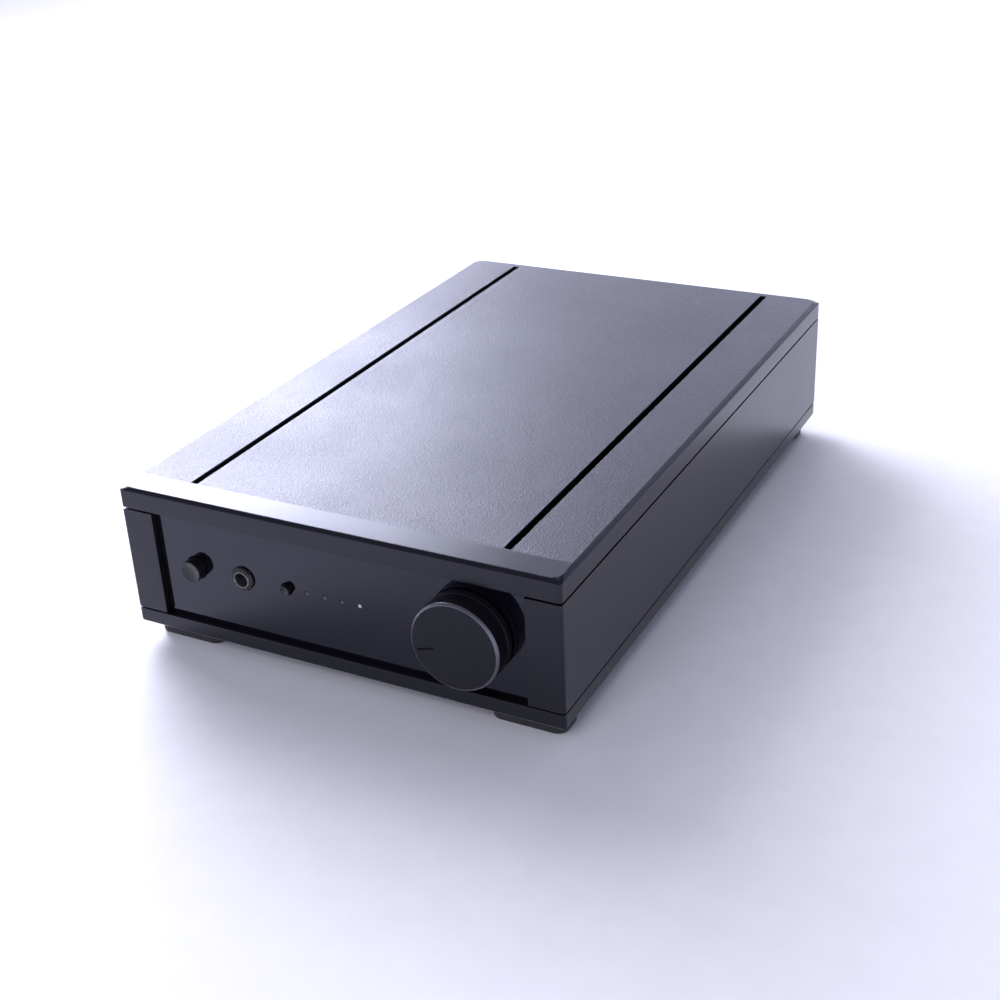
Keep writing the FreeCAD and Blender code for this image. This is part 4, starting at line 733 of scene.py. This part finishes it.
def build_lid():
    shoulder = TOP - EDGE_RADIUS
    levels = [(LID_RIM, 0.3, 1.6), (LID_RIM + 0.1, 0.1, 1.75), (LID_RIM + 0.35, 0.0, 1.8),
              (shoulder - 0.35, 0.0, 1.8), (shoulder, 0.09, 1.9), (shoulder + 0.3, 0.33, 2.4),
              (TOP - 0.38, 1.45, 5.3), (TOP - 0.1, 1.78, 5.9), (TOP, 2.15, 6.1)]
    band_drop = 0.37

    def wedge(bm):
        """What comes off the top so that the front band slopes a little."""
        above = TOP + 1
        corners = [(FRONT - 1, TOP - band_drop), (BAND_END, TOP), (BAND_END, above), (FRONT - 1, above)]
        loft(bm, [[(x, y, z) for y, z in corners] for x in (-HALF - 1, HALF + 1)])

    piece = mesh_piece("lid_shell", case_shell(levels))
    carve(piece, [case_hollow(LID_RIM - 1, CEILING), wedge])
    ribs = []
    for i in range(3):
        y = FRONT + (BACK - FRONT) * (i + 1) / 4
        ribs.append(box(-SIDE_INNER, SIDE_INNER, y - RIB_HALF, y + RIB_HALF, CEILING - RIB_DEPTH,
                        CEILING + SINK))
    bosses = [rod_z(BOSS_RADIUS, x, y, CEILING - BOSS_DEPTH, CEILING + SINK) for x, y in SCREW_SPOTS]
    piece = weld(piece, ribs + bosses)
    cuts = [rod_z(1.5, x, y, CEILING - BOSS_DEPTH - 1.0, CEILING - 2.0) for x, y in SCREW_SPOTS]
    for x in (-SLOT_X, SLOT_X):
        cuts.append(box(x - SLOT_HALF_WIDTH, x + SLOT_HALF_WIDTH, FRONT + 15.0, BACK - 6.0,
                        CEILING - RIB_SADDLE, TOP + 1))
    dress(soften(carve(piece, cuts), 0.22), "case_paint", "case", ["lid"])


def floor_vent(x, y):
    """One slot through the floor with round ends."""
    return lambda bm: loft(bm, [rounded_loop(x - 11.0, x + 11.0, y - 1.5, y + 1.5, 1.45, z)
                                for z in (BASE - 1, FLOOR + 1)])


def build_base():
    levels = [(BASE, 0.9, 1.2), (BASE + 0.12, 0.62, 1.3), (BASE + 0.75, 0.06, 1.75),
              (BASE + 1.0, 0.0, 1.8), (BASE_RIM - 0.35, 0.0, 1.8), (BASE_RIM - 0.1, 0.1, 1.75),
              (BASE_RIM, 0.3, 1.6)]
    cuts = [case_hollow(FLOOR, BASE_RIM + 1)]
    for node in ("supply_board", "main_board"):
        x, y, _ = middle(node)
        cuts += [floor_vent(x, y + (i - 2.5) * 9.0) for i in range(6)]
    holes = [(1.7, x, y) for x, y in SCREW_SPOTS] + [(1.9, x, y) for x, y in FOOT_SPOTS]
    holes.append((3.2, TOROID_X, TOROID_Y))
    cuts += [rod_z(radius, x, y, BASE - 1, FLOOR + 1) for radius, x, y in holes]
    piece = carve(mesh_piece("base_shell", case_shell(levels)), cuts)
    dress(soften(piece, 0.2), "case_paint", "case", ["base_tray"])


def build_side(side, node):
    """Made on the right and mirrored for the left: outer leaf with cheek, tongue and two screw ports."""
    cheek, leaf_inner, cheek_back = HALF - 16.5, HALF - 3.0, FRONT + 6.0
    outline = [(cheek, FRONT), (HALF, FRONT), (HALF, BACK), (leaf_inner, BACK), (leaf_inner, cheek_back),
               (cheek, cheek_back)]
    outline = rounded_profile(outline, [0.25, EDGE_RADIUS, EDGE_RADIUS, 0.25, 0.0, 0.0], 7)

    def leaf(bm):
        loft(bm, [[(x, y, z) for x, y in outline] for z in (BASE_RIM + SEAM, LID_RIM - SEAM)])

    extras = [box(SIDE_INNER, SIDE_OUTER, INNER_FRONT, INNER_BACK, FLOOR, CEILING)]
    for z in PORT_ZS:
        extras.append(box(PORT_X - 2.5, SIDE_INNER + 0.1, INNER_FRONT, INNER_BACK, z - 3.25, z + 3.25))
    piece = weld(mesh_piece("side_shell_" + node.rsplit("_", 1)[1], leaf), extras)
    piece = carve(piece, [rod_y(1.5, PORT_X, INNER_BACK - 12, INNER_BACK + 1, z) for z in PORT_ZS])
    soften(piece, 0.2)
    if side < 0:
        piece.data.transform(Matrix.Scale(-1, 4, Vector((1, 0, 0))))
        piece.data.flip_normals()
    dress(piece, "case_paint", "case", [node])


PANEL_EXTRA = 1.1


def build_front_panel():
    """The gloss panel, drawn out to the cheeks, where its node stops PANEL_EXTRA short."""
    (x0, y0, z0), (x1, y1, z1) = PANEL_LOW, PANEL_HIGH
    x0, x1 = x0 - PANEL_EXTRA, x1 + PANEL_EXTRA

    def plate(bm):
        levels = [(y0, 0.22), (y0 + 0.06, 0.08), (y0 + 0.2, 0.0), (y1, 0.0)]
        loft(bm, [[(x0 + i, y, z0 + i), (x1 - i, y, z0 + i), (x1 - i, y, z1 - i), (x0 + i, y, z1 - i)]
                  for y, i in levels])

    holes = [(4.7, KNOB_X), (5.6, POWER_X), (4.5, SOCKET_X), (3.0, SELECTOR_X)]
    holes += [(1.2, x) for x in LAMP_XS]
    cuts = [rod_y(radius, x, y0 - 1, y1 + 1, CONTROL_Z) for radius, x in holes]
    piece = carve(mesh_piece("front_fascia", plate), cuts)
    dress(soften(piece, 0.15), "panel_gloss", "case", ["front_panel"])


FOOT_HALF_WIDTH, FOOT_HALF_DEPTH = 17.25, 8.0


def build_feet():
    levels = [(0.0, 1.0, 4.4), (0.12, 0.55, 4.7), (0.4, 0.18, 4.9), (0.9, 0.0, 5.0), (7.9, 0.0, 5.0),
              (8.6, 0.0, 5.0)]
    for node, (x, y) in zip(FOOT_NODES, FOOT_SPOTS):
        def pad(bm, x=x, y=y):
            loft(bm, [rounded_loop(x - FOOT_HALF_WIDTH + i, x + FOOT_HALF_WIDTH - i,
                                   y - FOOT_HALF_DEPTH + i, y + FOOT_HALF_DEPTH - i, r, z, 12)
                      for z, i, r in levels])
        piece = carve(mesh_piece(node.replace("foot_", "rubber_foot_"), pad),
                      [rod_z(4.4, x, y, -1, 4.5), rod_z(1.9, x, y, -1, 9.6)])
        dress(soften(piece, 0.25), "foot_rubber", "case", [node])


# Controls

POINTER_REST = math.radians(195.0)
GRUB_Y = PANEL - 6.9


def build_knob():
    face, back, radius = KNOB_LOW[1], KNOB_HIGH[1], (KNOB_HIGH[0] - KNOB_LOW[0]) / 2
    wall = radius - 2.8
    groove = back - 3.4
    points = [(0, face), (radius - 1.0, face), (radius, face + 1.0), (radius, groove - 0.3),
              (radius - 0.3, groove - 0.15), (radius - 0.3, groove + 0.15), (radius, groove + 0.3),
              (radius, back), (wall, back), (wall, back - 8.0), (8.0, back - 8.0), (8.0, back - 4.0),
              (3.0, back - 4.0), (3.0, face + 3.0), (0, face + 3.0)]
    radii = [0, 0.5, 0.5, 0.08, 0.05, 0.05, 0.08, 0.4, 0.3, 0.4, 0.4, 0.3, 0.2, 0, 0]
    knob = mesh_piece("volume_dial", lathe(rounded_profile(points, radii, 5), KNOB_X, CONTROL_Z, 160))
    out = Vector((math.cos(POINTER_REST), 0, math.sin(POINTER_REST)))
    across = Vector((-math.sin(POINTER_REST), 0, math.cos(POINTER_REST)))
    centre = Vector((KNOB_X, 0, CONTROL_Z))

    def bar(length0, length1, width, y0, y1, round_end):
        """A slim bar along the pointer's line, between two distances from the knob's centre."""
        def build(bm):
            loops = []
            for y in (y0, y1):
                loop = []
                for end, sign in ((length0, -1), (length1, 1)):
                    for i in range(9):
                        angle = math.radians(-90 + 180 * i / 8)
                        along = end + sign * math.cos(angle) * round_end
                        side = sign * math.sin(angle) * width / 2
                        loop.append(tuple(centre + out * along + across * side + Vector((0, y, 0))))
                loops.append(loop)
            loft(bm, loops)
        return build

    carve(knob, [bar(10.0, 17.5, 1.1, face - 1, face + 0.5, 0.25),
                 rod_z(1.5, KNOB_X, GRUB_Y, CONTROL_Z - radius - 1, CONTROL_Z - 3.0)])
    soften(knob, 0.08, 2, 40.0)
    mark_edge(knob, lambda at, facing: at.y < (face + 1.1) * MM and facing.y > -0.96)
    dress(knob, "knob_anodised", "volume", ["volume_knob"], 24.0)
    pointer = mesh_piece("pointer_inlay", bar(10.05, 17.45, 1.0, face + 0.12, face + 0.5, 0.22))
    dress(soften(pointer, 0.05, 2, 50.0), "pointer_black", "volume", ["knob_pointer"])


def dished(radius, face, dish, back, stem=None):
    """Outline of a round button with a hollowed face and a soft lip."""
    rim = radius - 0.75
    sphere = (rim * rim + dish * dish) / (2 * dish)
    points = []
    for i in range(13):
        r = rim * i / 12
        points.append((r, face + dish - sphere + math.sqrt(sphere * sphere - r * r)))
    lip = 0.34
    points.append((radius - lip - 0.12, face + 0.01))
    for i in range(1, 7):
        angle = math.radians(90 - 90 * i / 6)
        points.append((radius - lip + lip * math.cos(angle), face + lip - lip * math.sin(angle)))
    points.append((radius, back - 0.3))
    points.append((radius - 0.3, back))
    if stem:
        points += [(stem[0], back), (stem[0], stem[1] - 0.3), (stem[0] - 0.3, stem[1]), (0, stem[1])]
    else:
        points.append((0, back))
    return points


def build_buttons():
    cap = dished(5.2, POWER_LOW[1], 0.9, POWER_HIGH[1])
    power = mesh_piece("power_key", lathe(cap, POWER_X, CONTROL_Z, 96))
    dress(soften(power, 0), "button_black", "power_push", ["power_button"])
    key = dished(2.6, SELECTOR_LOW[1], 0.4, INNER_FRONT + 2.0, (1.7, SELECTOR_HIGH[1]))
    small = mesh_piece("selector_key", lathe(key, SELECTOR_X, CONTROL_Z, 72))
    dress(soften(small, 0), "button_black", "selector_push", ["selector_button"])


def build_headphone_socket():
    outer = NUT_LOW[1]
    points = [(4.32, outer + 0.35), (4.75, outer), (5.2, outer), (5.8, outer + 0.6), (5.8, PANEL),
              (4.32, PANEL)]
    ring = rounded_profile(points, [0.1, 0.2, 0.25, 0.25, 0, 0], 4)
    nut = mesh_piece("socket_ring", lathe(ring, SOCKET_X, CONTROL_Z, 96))
    notches = []
    for i in range(4):
        angle = math.radians(45 + 90 * i)
        x, z = SOCKET_X + 5.75 * math.cos(angle), CONTROL_Z + 5.75 * math.sin(angle)
        notches.append(rod_y(0.55, x, outer - 1, PANEL - 0.3, z))
    carve(nut, notches)
    dress(soften(nut, 0.06, 2, 45.0), "socket_black", "case", ["headphone_socket_nut"])
    face = PANEL - 1.9
    points = [(3.2, face + 0.45), (3.5, face), (3.95, face), (4.3, face + 0.4)]
    y = face + 0.7
    while y < INNER_FRONT - 0.6:
        points += [(4.3, y), (4.12, y + 0.2), (4.3, y + 0.4)]
        y += 0.55
    points += [(4.3, INNER_FRONT), (3.2, INNER_FRONT)]
    bush = mesh_piece("socket_barrel", lathe(points, SOCKET_X, CONTROL_Z, 80))
    # The barrel takes the darker copy of nickel, painted shade for its recess in the ring.
    dress(soften(bush, 0), "nickel", "case", ["headphone_socket_bush"], finish="nickel_painted_shade")
    contacts = mesh_piece("socket_contacts", socket_contacts)
    dress(soften(contacts, 0.04, 1, 50.0), "nickel", "case")


def socket_contacts(bm):
    """Three sprung leaves lying along the bore's wall, with their tags out of the body's end."""
    end = INNER_FRONT + 26.0
    for i, start in enumerate((4.0, 9.0, 14.0)):
        angle = math.radians(90 + 120 * i)
        x = SOCKET_X + 3.18 * math.cos(angle)
        z = CONTROL_Z + 3.18 * math.sin(angle)
        box_into(bm, x - 0.7, x + 0.7, INNER_FRONT + start, INNER_FRONT + 21.5, z - 0.1, z + 0.1)
        tag_x = SOCKET_X + 5.0 * math.cos(angle)
        tag_z = CONTROL_Z + 5.0 * math.sin(angle)
        box_into(bm, tag_x - 0.9, tag_x + 0.9, end, end + 4.0, tag_z - 0.2, tag_z + 0.2)


def build_lamps():
    for i, x in enumerate(LAMP_XS):
        points = [(0, PANEL + 0.12), (0.75, PANEL + 0.09), (0.98, PANEL + 0.02), (1.1, PANEL + 0.16),
                  (1.1, INNER_FRONT + 0.6), (1.7, INNER_FRONT + 0.6), (1.9, INNER_FRONT + 0.8),
                  (1.9, INNER_FRONT + 9.0), (0, INNER_FRONT + 9.0)]
        piece = mesh_piece("light_pipe_%d" % (i + 1), lathe(points, x, CONTROL_Z, 56))
        slot_name = "lamp_lit" if i == 3 else "lamp_clear"
        dress(soften(piece, 0), slot_name, "case", ["input_lamp_%d" % (i + 1)])


# Rear

def build_rear():
    points = [(3.5, REAR_PANEL - 1.5), (3.8, REAR_PANEL - 1.5), (3.8, REAR_PANEL + 1.3),
              (4.15, REAR_PANEL + 1.3), (4.15, REAR_PANEL + 12.0), (3.5, REAR_PANEL + 12.0)]
    profile = rounded_profile(points, [0, 0, 0, 0.15, 0.4, 0.2], 4)

    def sleeves(bm):
        for x in LINE_XS:
            for z in LINE_ZS:
                lathe_into(bm, profile, x, z, 64)

    dress(soften(mesh_piece("line_shells", sleeves), 0), "nickel", "case", ["line_sleeves"])

    core = [(1.6, REAR_PANEL - 1.5), (3.5, REAR_PANEL - 1.5), (3.5, REAR_PANEL + 11.0),
            (2.3, REAR_PANEL + 11.0), (2.1, REAR_PANEL + 10.7), (1.6, REAR_PANEL + 10.7)]
    ring = [(3.8, REAR_PANEL), (5.7, REAR_PANEL), (5.7, REAR_PANEL + 1.3), (3.8, REAR_PANEL + 1.3)]
    ring = rounded_profile(ring, [0, 0.1, 0.45, 0.1], 4)
    for node, z, slot_name in (("line_insulators_red", LINE_ZS[0], "insulator_red"),
                               ("line_insulators_white", LINE_ZS[1], "insulator_white")):
        def cores(bm, z=z):
            for x in LINE_XS:
                lathe_into(bm, core, x, z, 56)
                lathe_into(bm, ring, x, z, 72)
        piece = mesh_piece(node.replace("insulators", "cores"), cores)
        dress(soften(piece, 0), slot_name, "case", [node])

    contact = [(1.28, REAR_PANEL - 1.0), (1.58, REAR_PANEL - 1.0), (1.58, REAR_PANEL + 10.2),
               (1.4, REAR_PANEL + 10.5), (1.28, REAR_PANEL + 10.2)]

    def contacts(bm):
        for x in LINE_XS:
            for z in LINE_ZS:
                lathe_into(bm, contact, x, z, 32)
    dress(soften(mesh_piece("line_contacts", contacts), 0), "bush_brass", "case")
    build_inlet()


def build_inlet():
    face = REAR_PANEL + 3.0

    def flange(bm):
        levels = [(REAR_PANEL, 0.0), (face - 0.5, 0.0), (face - 0.12, 0.14), (face, 0.5)]
        loops = []
        for y, i in levels:
            loop = rounded_loop(INLET_X - 25 + i, INLET_X + 25 - i, INLET_Z - 17 + i, INLET_Z + 17 - i,
                                4.0 - i, 0)
            loops.append([(x, y, z) for x, z, _ in loop])
        loft(bm, loops)

    body = box(INLET_X - 14, INLET_X + 14, face - 21.0, REAR_PANEL + 0.5, INLET_Z - 15.5,
               INLET_Z + 15.5)
    piece = weld(mesh_piece("inlet_housing", flange), [body])
    top, foot = INLET_Z + 14.0, INLET_Z - 2.6

    def cavity(bm):
        half, cut = 12.2, 3.4
        ring = [(-half, foot), (half, foot), (half, top - cut), (half - cut, top), (cut - half, top),
                (-half, top - cut)]
        loft(bm, [[(INLET_X + x, y, z) for x, z in ring] for y in (face - 17.0, face + 1)])

    bay = box(INLET_X - 12.2, INLET_X + 12.2, face - 17.3, face + 1, INLET_Z - 14.0, foot - 1.5)
    holes = [rod_y(1.5, INLET_X + s * 20.0, REAR_PANEL - 1, face + 1, INLET_Z) for s in (-1, 1)]
    piece = carve(piece, [cavity, bay] + holes)
    dress(soften(piece, 0.25), "socket_black", "case", ["mains_inlet"])


# Inside

def can(radius, z, top):
    """Outline of an electrolytic can: crimped foot, rolled edge and sunk top."""
    return [(0, z), (radius - 0.5, z), (radius - 0.15, z + 0.25), (radius, z + 0.7),
            (radius, z + radius * 0.22), (radius * 0.93, z + radius * 0.30), (radius, z + radius * 0.38),
            (radius, top - 0.8), (radius - 0.25, top - 0.2), (radius - 0.7, top),
            (radius - 1.1, top - 0.15), (radius - 1.3, top - 0.5), (0, top - 0.5)]


def score(x, y, turn, reach, top):
    """A cutter for one scored line of a can's vent."""
    def cut(bm):
        made = bmesh.new()
        box_into(made, -reach, reach, -0.2, 0.2, top - 0.8, top + 0.5)
        spin = Matrix.Translation(Vector((x, y, 0)) * MM) @ Matrix.Rotation(math.radians(turn), 4, "Z")
        bmesh.ops.transform(made, matrix=spin, verts=made.verts)
        join_into(bm, made)
    return cut


def build_cans():
    low, high = low_high("filter_capacitors")
    radius, gap = 11.0, 3.0
    spots = [(high[0] - radius, low[1] + radius + i * (2 * radius + gap)) for i in range(3)]
    piece = mesh_piece("reservoir_cans", cans(spots, radius, low[2], high[2]))
    carve(piece, [score(x, y, turn, radius * 0.62, high[2]) for x, y in spots for turn in (0, 60, 120)])
    dress(soften(piece, 0), "can_sleeve", "case", ["filter_capacitors"])

    low, high = low_high("small_capacitors")
    radius, count = 4.0, 8
    step = (high[0] - low[0] - 2 * radius) / (count - 1)
    spots = [(low[0] + radius + i * step, low[1] + radius) for i in range(count)]
    piece = mesh_piece("coupling_cans", cans(spots, radius, low[2], high[2]))
    dress(soften(piece, 0), "can_sleeve", "case", ["small_capacitors"])


def cans(spots, radius, z, top):
    def build(bm):
        for x, y in spots:
            spin_into(bm, can(radius, z, top), 56, lambda a, b, dist: (x + a, y + b, dist))
    return build


def build_transformer():
    """The wound ring: a rounded section whose surface steps where each turn of tape laps the last."""
    steps, section_steps = 360, 40
    squareness, lap_height = 0.5, 0.16
    half = (TOROID_OUTER - TOROID_INNER) / 2
    centre = (TOROID_OUTER + TOROID_INNER) / 2
    height = (TOROID_HIGH - TOROID_LOW) / 2

    def ring(bm):
        rows = []
        for i in range(steps):
            angle = 2 * math.pi * i / steps
            row = []
            for k in range(section_steps):
                t = 2 * math.pi * k / section_steps
                c, s = math.cos(t), math.sin(t)
                px = math.copysign(abs(c) ** squareness, c)
                pz = math.copysign(abs(s) ** squareness, s)
                lap = (i / steps * TAPE_TURNS + 0.35 * (s + 1) / 2) % 1.0
                lift = lap_height * lap - lap_height
                r = centre + px * (half + lift)
                at = (TOROID_X + r * math.cos(angle), TOROID_Y + r * math.sin(angle),
                      TOROID_LOW + height + pz * (height + lift))
                row.append(bm.verts.new(Vector(at) * MM))
            rows.append(row)
        for a, b in zip(rows, rows[1:] + rows[:1]):
            for k in range(section_steps):
                j = (k + 1) % section_steps
                bm.faces.new((a[k], b[k], b[j], a[j]))
    piece = mesh_piece("transformer_winding", ring)
    dress(soften(piece, 0), "transformer_wrap", "case", ["toroidal_transformer"], 60.0)


def resistor(slots, body, x, y, top):
    """A small resistor lying along X, its two wires bent down into the board."""
    z = top + 1.2
    ends = [(0, -3.0), (0.7, -3.0), (1.1, -2.6), (1.1, -1.9), (0.85, -1.5)]
    profile = [(r, x + at) for r, at in ends] + [(r, x - at) for r, at in reversed(ends)]
    spin_into(slots[body], profile, 20, lambda a, b, dist: (dist, y + a, z + b))
    for side in (-1, 1):
        bend = x + side * 3.9
        rod_into(slots["screw_steel"], 0.25, (x + side * 2.9, y, z), (bend, y, z), 10)
        rod_into(slots["screw_steel"], 0.25, (bend, y, z + 0.15), (bend, y, top), 10)


def chip(slots, x, y, top):
    """An eight-legged chip."""
    soft_box_into(slots["package_black"], x - 3.2, x + 3.2, y - 1.9, y + 1.9, top + 0.4, top + 3.4, 0.2)
    for k in range(4):
        for side in (-1, 1):
            leg = x - 2.4 + 1.6 * k
            box_into(slots["screw_steel"], leg - 0.25, leg + 0.25, y + side * 2.2 - 0.15,
                     y + side * 2.2 + 0.15, top, top + 1.6)


def scatter_parts(slots, board_node, seed, count, keep_clear):
    """Scatters small parts on a board's top on a grid, away from the big parts."""
    low, high = low_high(board_node)
    rng = random.Random(seed)
    top = high[2]
    placed = 0
    spots = []
    y = low[1] + 6.0
    while y < high[1] - 5.0:
        x = low[0] + 8.0
        while x < high[0] - 8.0:
            spots.append((x, y))
            x += 9.0
        y += 6.5
    rng.shuffle(spots)
    for x, y in spots:
        if placed >= count:
            break
        if any(a - 6.5 < x < b + 6.5 and c - 4.0 < y < d + 4.0 for a, b, c, d in keep_clear):
            continue
        kind = rng.random()
        placed += 1
        if kind < 0.6:
            resistor(slots, "insulator_white" if kind < 0.25 else "can_sleeve", x, y, top)
        elif kind < 0.8:
            soft_box_into(slots["insulator_red"], x - 3.6, x + 3.6, y - 1.4, y + 1.4, top, top + 6.0, 0.35)
        else:
            chip(slots, x, y, top)


def build_board_parts():
    names = {"insulator_white": "board_resistors_pale", "can_sleeve": "board_resistors_blue",
             "screw_steel": "board_wires", "insulator_red": "board_film_capacitors",
             "package_black": "board_chips"}
    slots = {slot_name: bmesh.new() for slot_name in names}
    clear = []
    for node in ("filter_capacitors", "rectifier", "heat_sink", "output_transistors", "input_relays",
                 "small_capacitors", "line_housings", "ribbon_connectors"):
        low, high = low_high(node)
        clear.append((low[0], high[0], low[1], high[1]))
    for node in ("supply_board", "main_board"):
        low, high = low_high(node)
        for x in (low[0] + 6, high[0] - 6):
            for y in (low[1] + 6, high[1] - 6, INNER_BACK - 21.0):
                clear.append((x - 3, x + 3, y - 3, y + 3))
    clear.append((20.0, 34.0, TOROID_Y - 4, TOROID_Y + 4))
    scatter_parts(slots, "supply_board", 7, 26, clear)
    scatter_parts(slots, "main_board", 11, 60, clear)
    for slot_name, bm in slots.items():
        dress(soften(object_from(names[slot_name], bm), 0), slot_name, "case")


def dress_frame_nodes():
    """Every frame node that still shows gets its own finish."""
    for name, node in frame["nodes"].items():
        if node.hide_render:
            continue
        node.data.materials.clear()
        node.data.materials.append(MATERIALS[SLOT_OF[name]])


# Setting

def build_floor():
    n = Nodes()
    grain = n.noise(60.0, 3.0)
    tone = n.mix(n.spread(grain, 0.3, 0.7), (0.80, 0.80, 0.815), (0.82, 0.82, 0.835))
    material = n.set(color=tone, rough=n.spread(grain, 0.3, 0.7, 0.55, 0.62), specular=0.25,
                     normal=n.bump(grain, 0.00002))
    material.name = "studio_floor"
    bm = bmesh.new()
    reach, cells, level = 6.0, 12, -0.0002
    steps = [-reach + 2 * reach * i / cells for i in range(cells + 1)]
    rows = [[bm.verts.new((x, y, level)) for x in steps] for y in steps]
    for a, b in zip(rows, rows[1:]):
        for i in range(cells):
            bm.faces.new((a[i], a[i + 1], b[i + 1], b[i]))
    floor = object_from("floor", bm)
    floor.data.materials.append(material)


def area_light(name, place, target, size, power, color, mirrored=True):
    """A soft box aimed at target. One that isn't mirrored lights surfaces but shows in none."""
    data = bpy.data.lights.new(name, "AREA")
    data.shape = "RECTANGLE"
    data.size, data.size_y = size
    data.energy = power
    data.color = color
    lamp_object = bpy.data.objects.new(name, data)
    lamp_object.location = place
    lamp_object.rotation_euler = (Vector(target) - Vector(place)).to_track_quat("-Z", "Y").to_euler()
    lamp_object.visible_glossy = mirrored
    scene.collection.objects.link(lamp_object)


def build_setting():
    build_floor()
    world = bpy.data.worlds.new("studio")
    world.use_nodes = True
    tree = world.node_tree
    background = tree.nodes["Background"]
    background.inputs["Color"].default_value = (0.72, 0.725, 1.0, 1.0)
    place = tree.nodes.new("ShaderNodeTexCoord")
    split = tree.nodes.new("ShaderNodeSeparateXYZ")
    fade = tree.nodes.new("ShaderNodeMapRange")
    tree.links.new(place.outputs["Generated"], split.inputs[0])
    tree.links.new(split.outputs["Z"], fade.inputs["Value"])
    for key, value in (("From Min", 0.12), ("From Max", 0.6), ("To Min", 1.26), ("To Max", 0.30)):
        fade.inputs[key].default_value = value
    tree.links.new(fade.outputs[0], background.inputs["Strength"])
    scene.world = world
    area_light("key", (-1.22, 0.62, 1.0), (0.0, 0.0, 0.05), (0.9, 0.9), 23.0, (0.87, 0.87, 1.0))
    area_light("sheen", (-1.26, 1.02, 0.70), (-0.1, -0.1, 0.08), (1.0, 0.5), 31.0, (0.79, 0.81, 1.0))
    area_light("back", (-0.4, 2.3, 0.62), (0.0, 0.0, 0.08), (2.6, 0.6), 14.0, (0.76, 0.77, 1.0))
    area_light("front", (0.15, -1.9, 1.5), (-0.1, -0.3, 0.0), (1.2, 1.0), 19.0, (0.93, 0.93, 1.0), False)
    area_light("far", (-2.2, 2.9, 2.4), (-1.8, 1.9, 0.0), (2.6, 2.6), 80.0, (0.97, 0.97, 1.0), False)
    scene.view_settings.view_transform = "Standard"
    camera_data = bpy.data.cameras.new("camera")
    camera_data.sensor_width = 36.0
    camera_data.lens = 54.302
    camera_data.clip_start = 0.01
    camera = bpy.data.objects.new("camera", camera_data)
    camera.location = (0.32625, -0.61354, 0.36682)
    camera.rotation_euler = (1.098735, 0.044873, 0.476081)
    scene.collection.objects.link(camera)
    scene.camera = camera


build_lid()
build_base()
build_side(-1, "side_wall_left")
build_side(1, "side_wall_right")
build_front_panel()
build_feet()
build_knob()
build_buttons()
build_headphone_socket()
build_lamps()
build_rear()
build_cans()
build_transformer()
build_board_parts()
dress_frame_nodes()
build_setting()
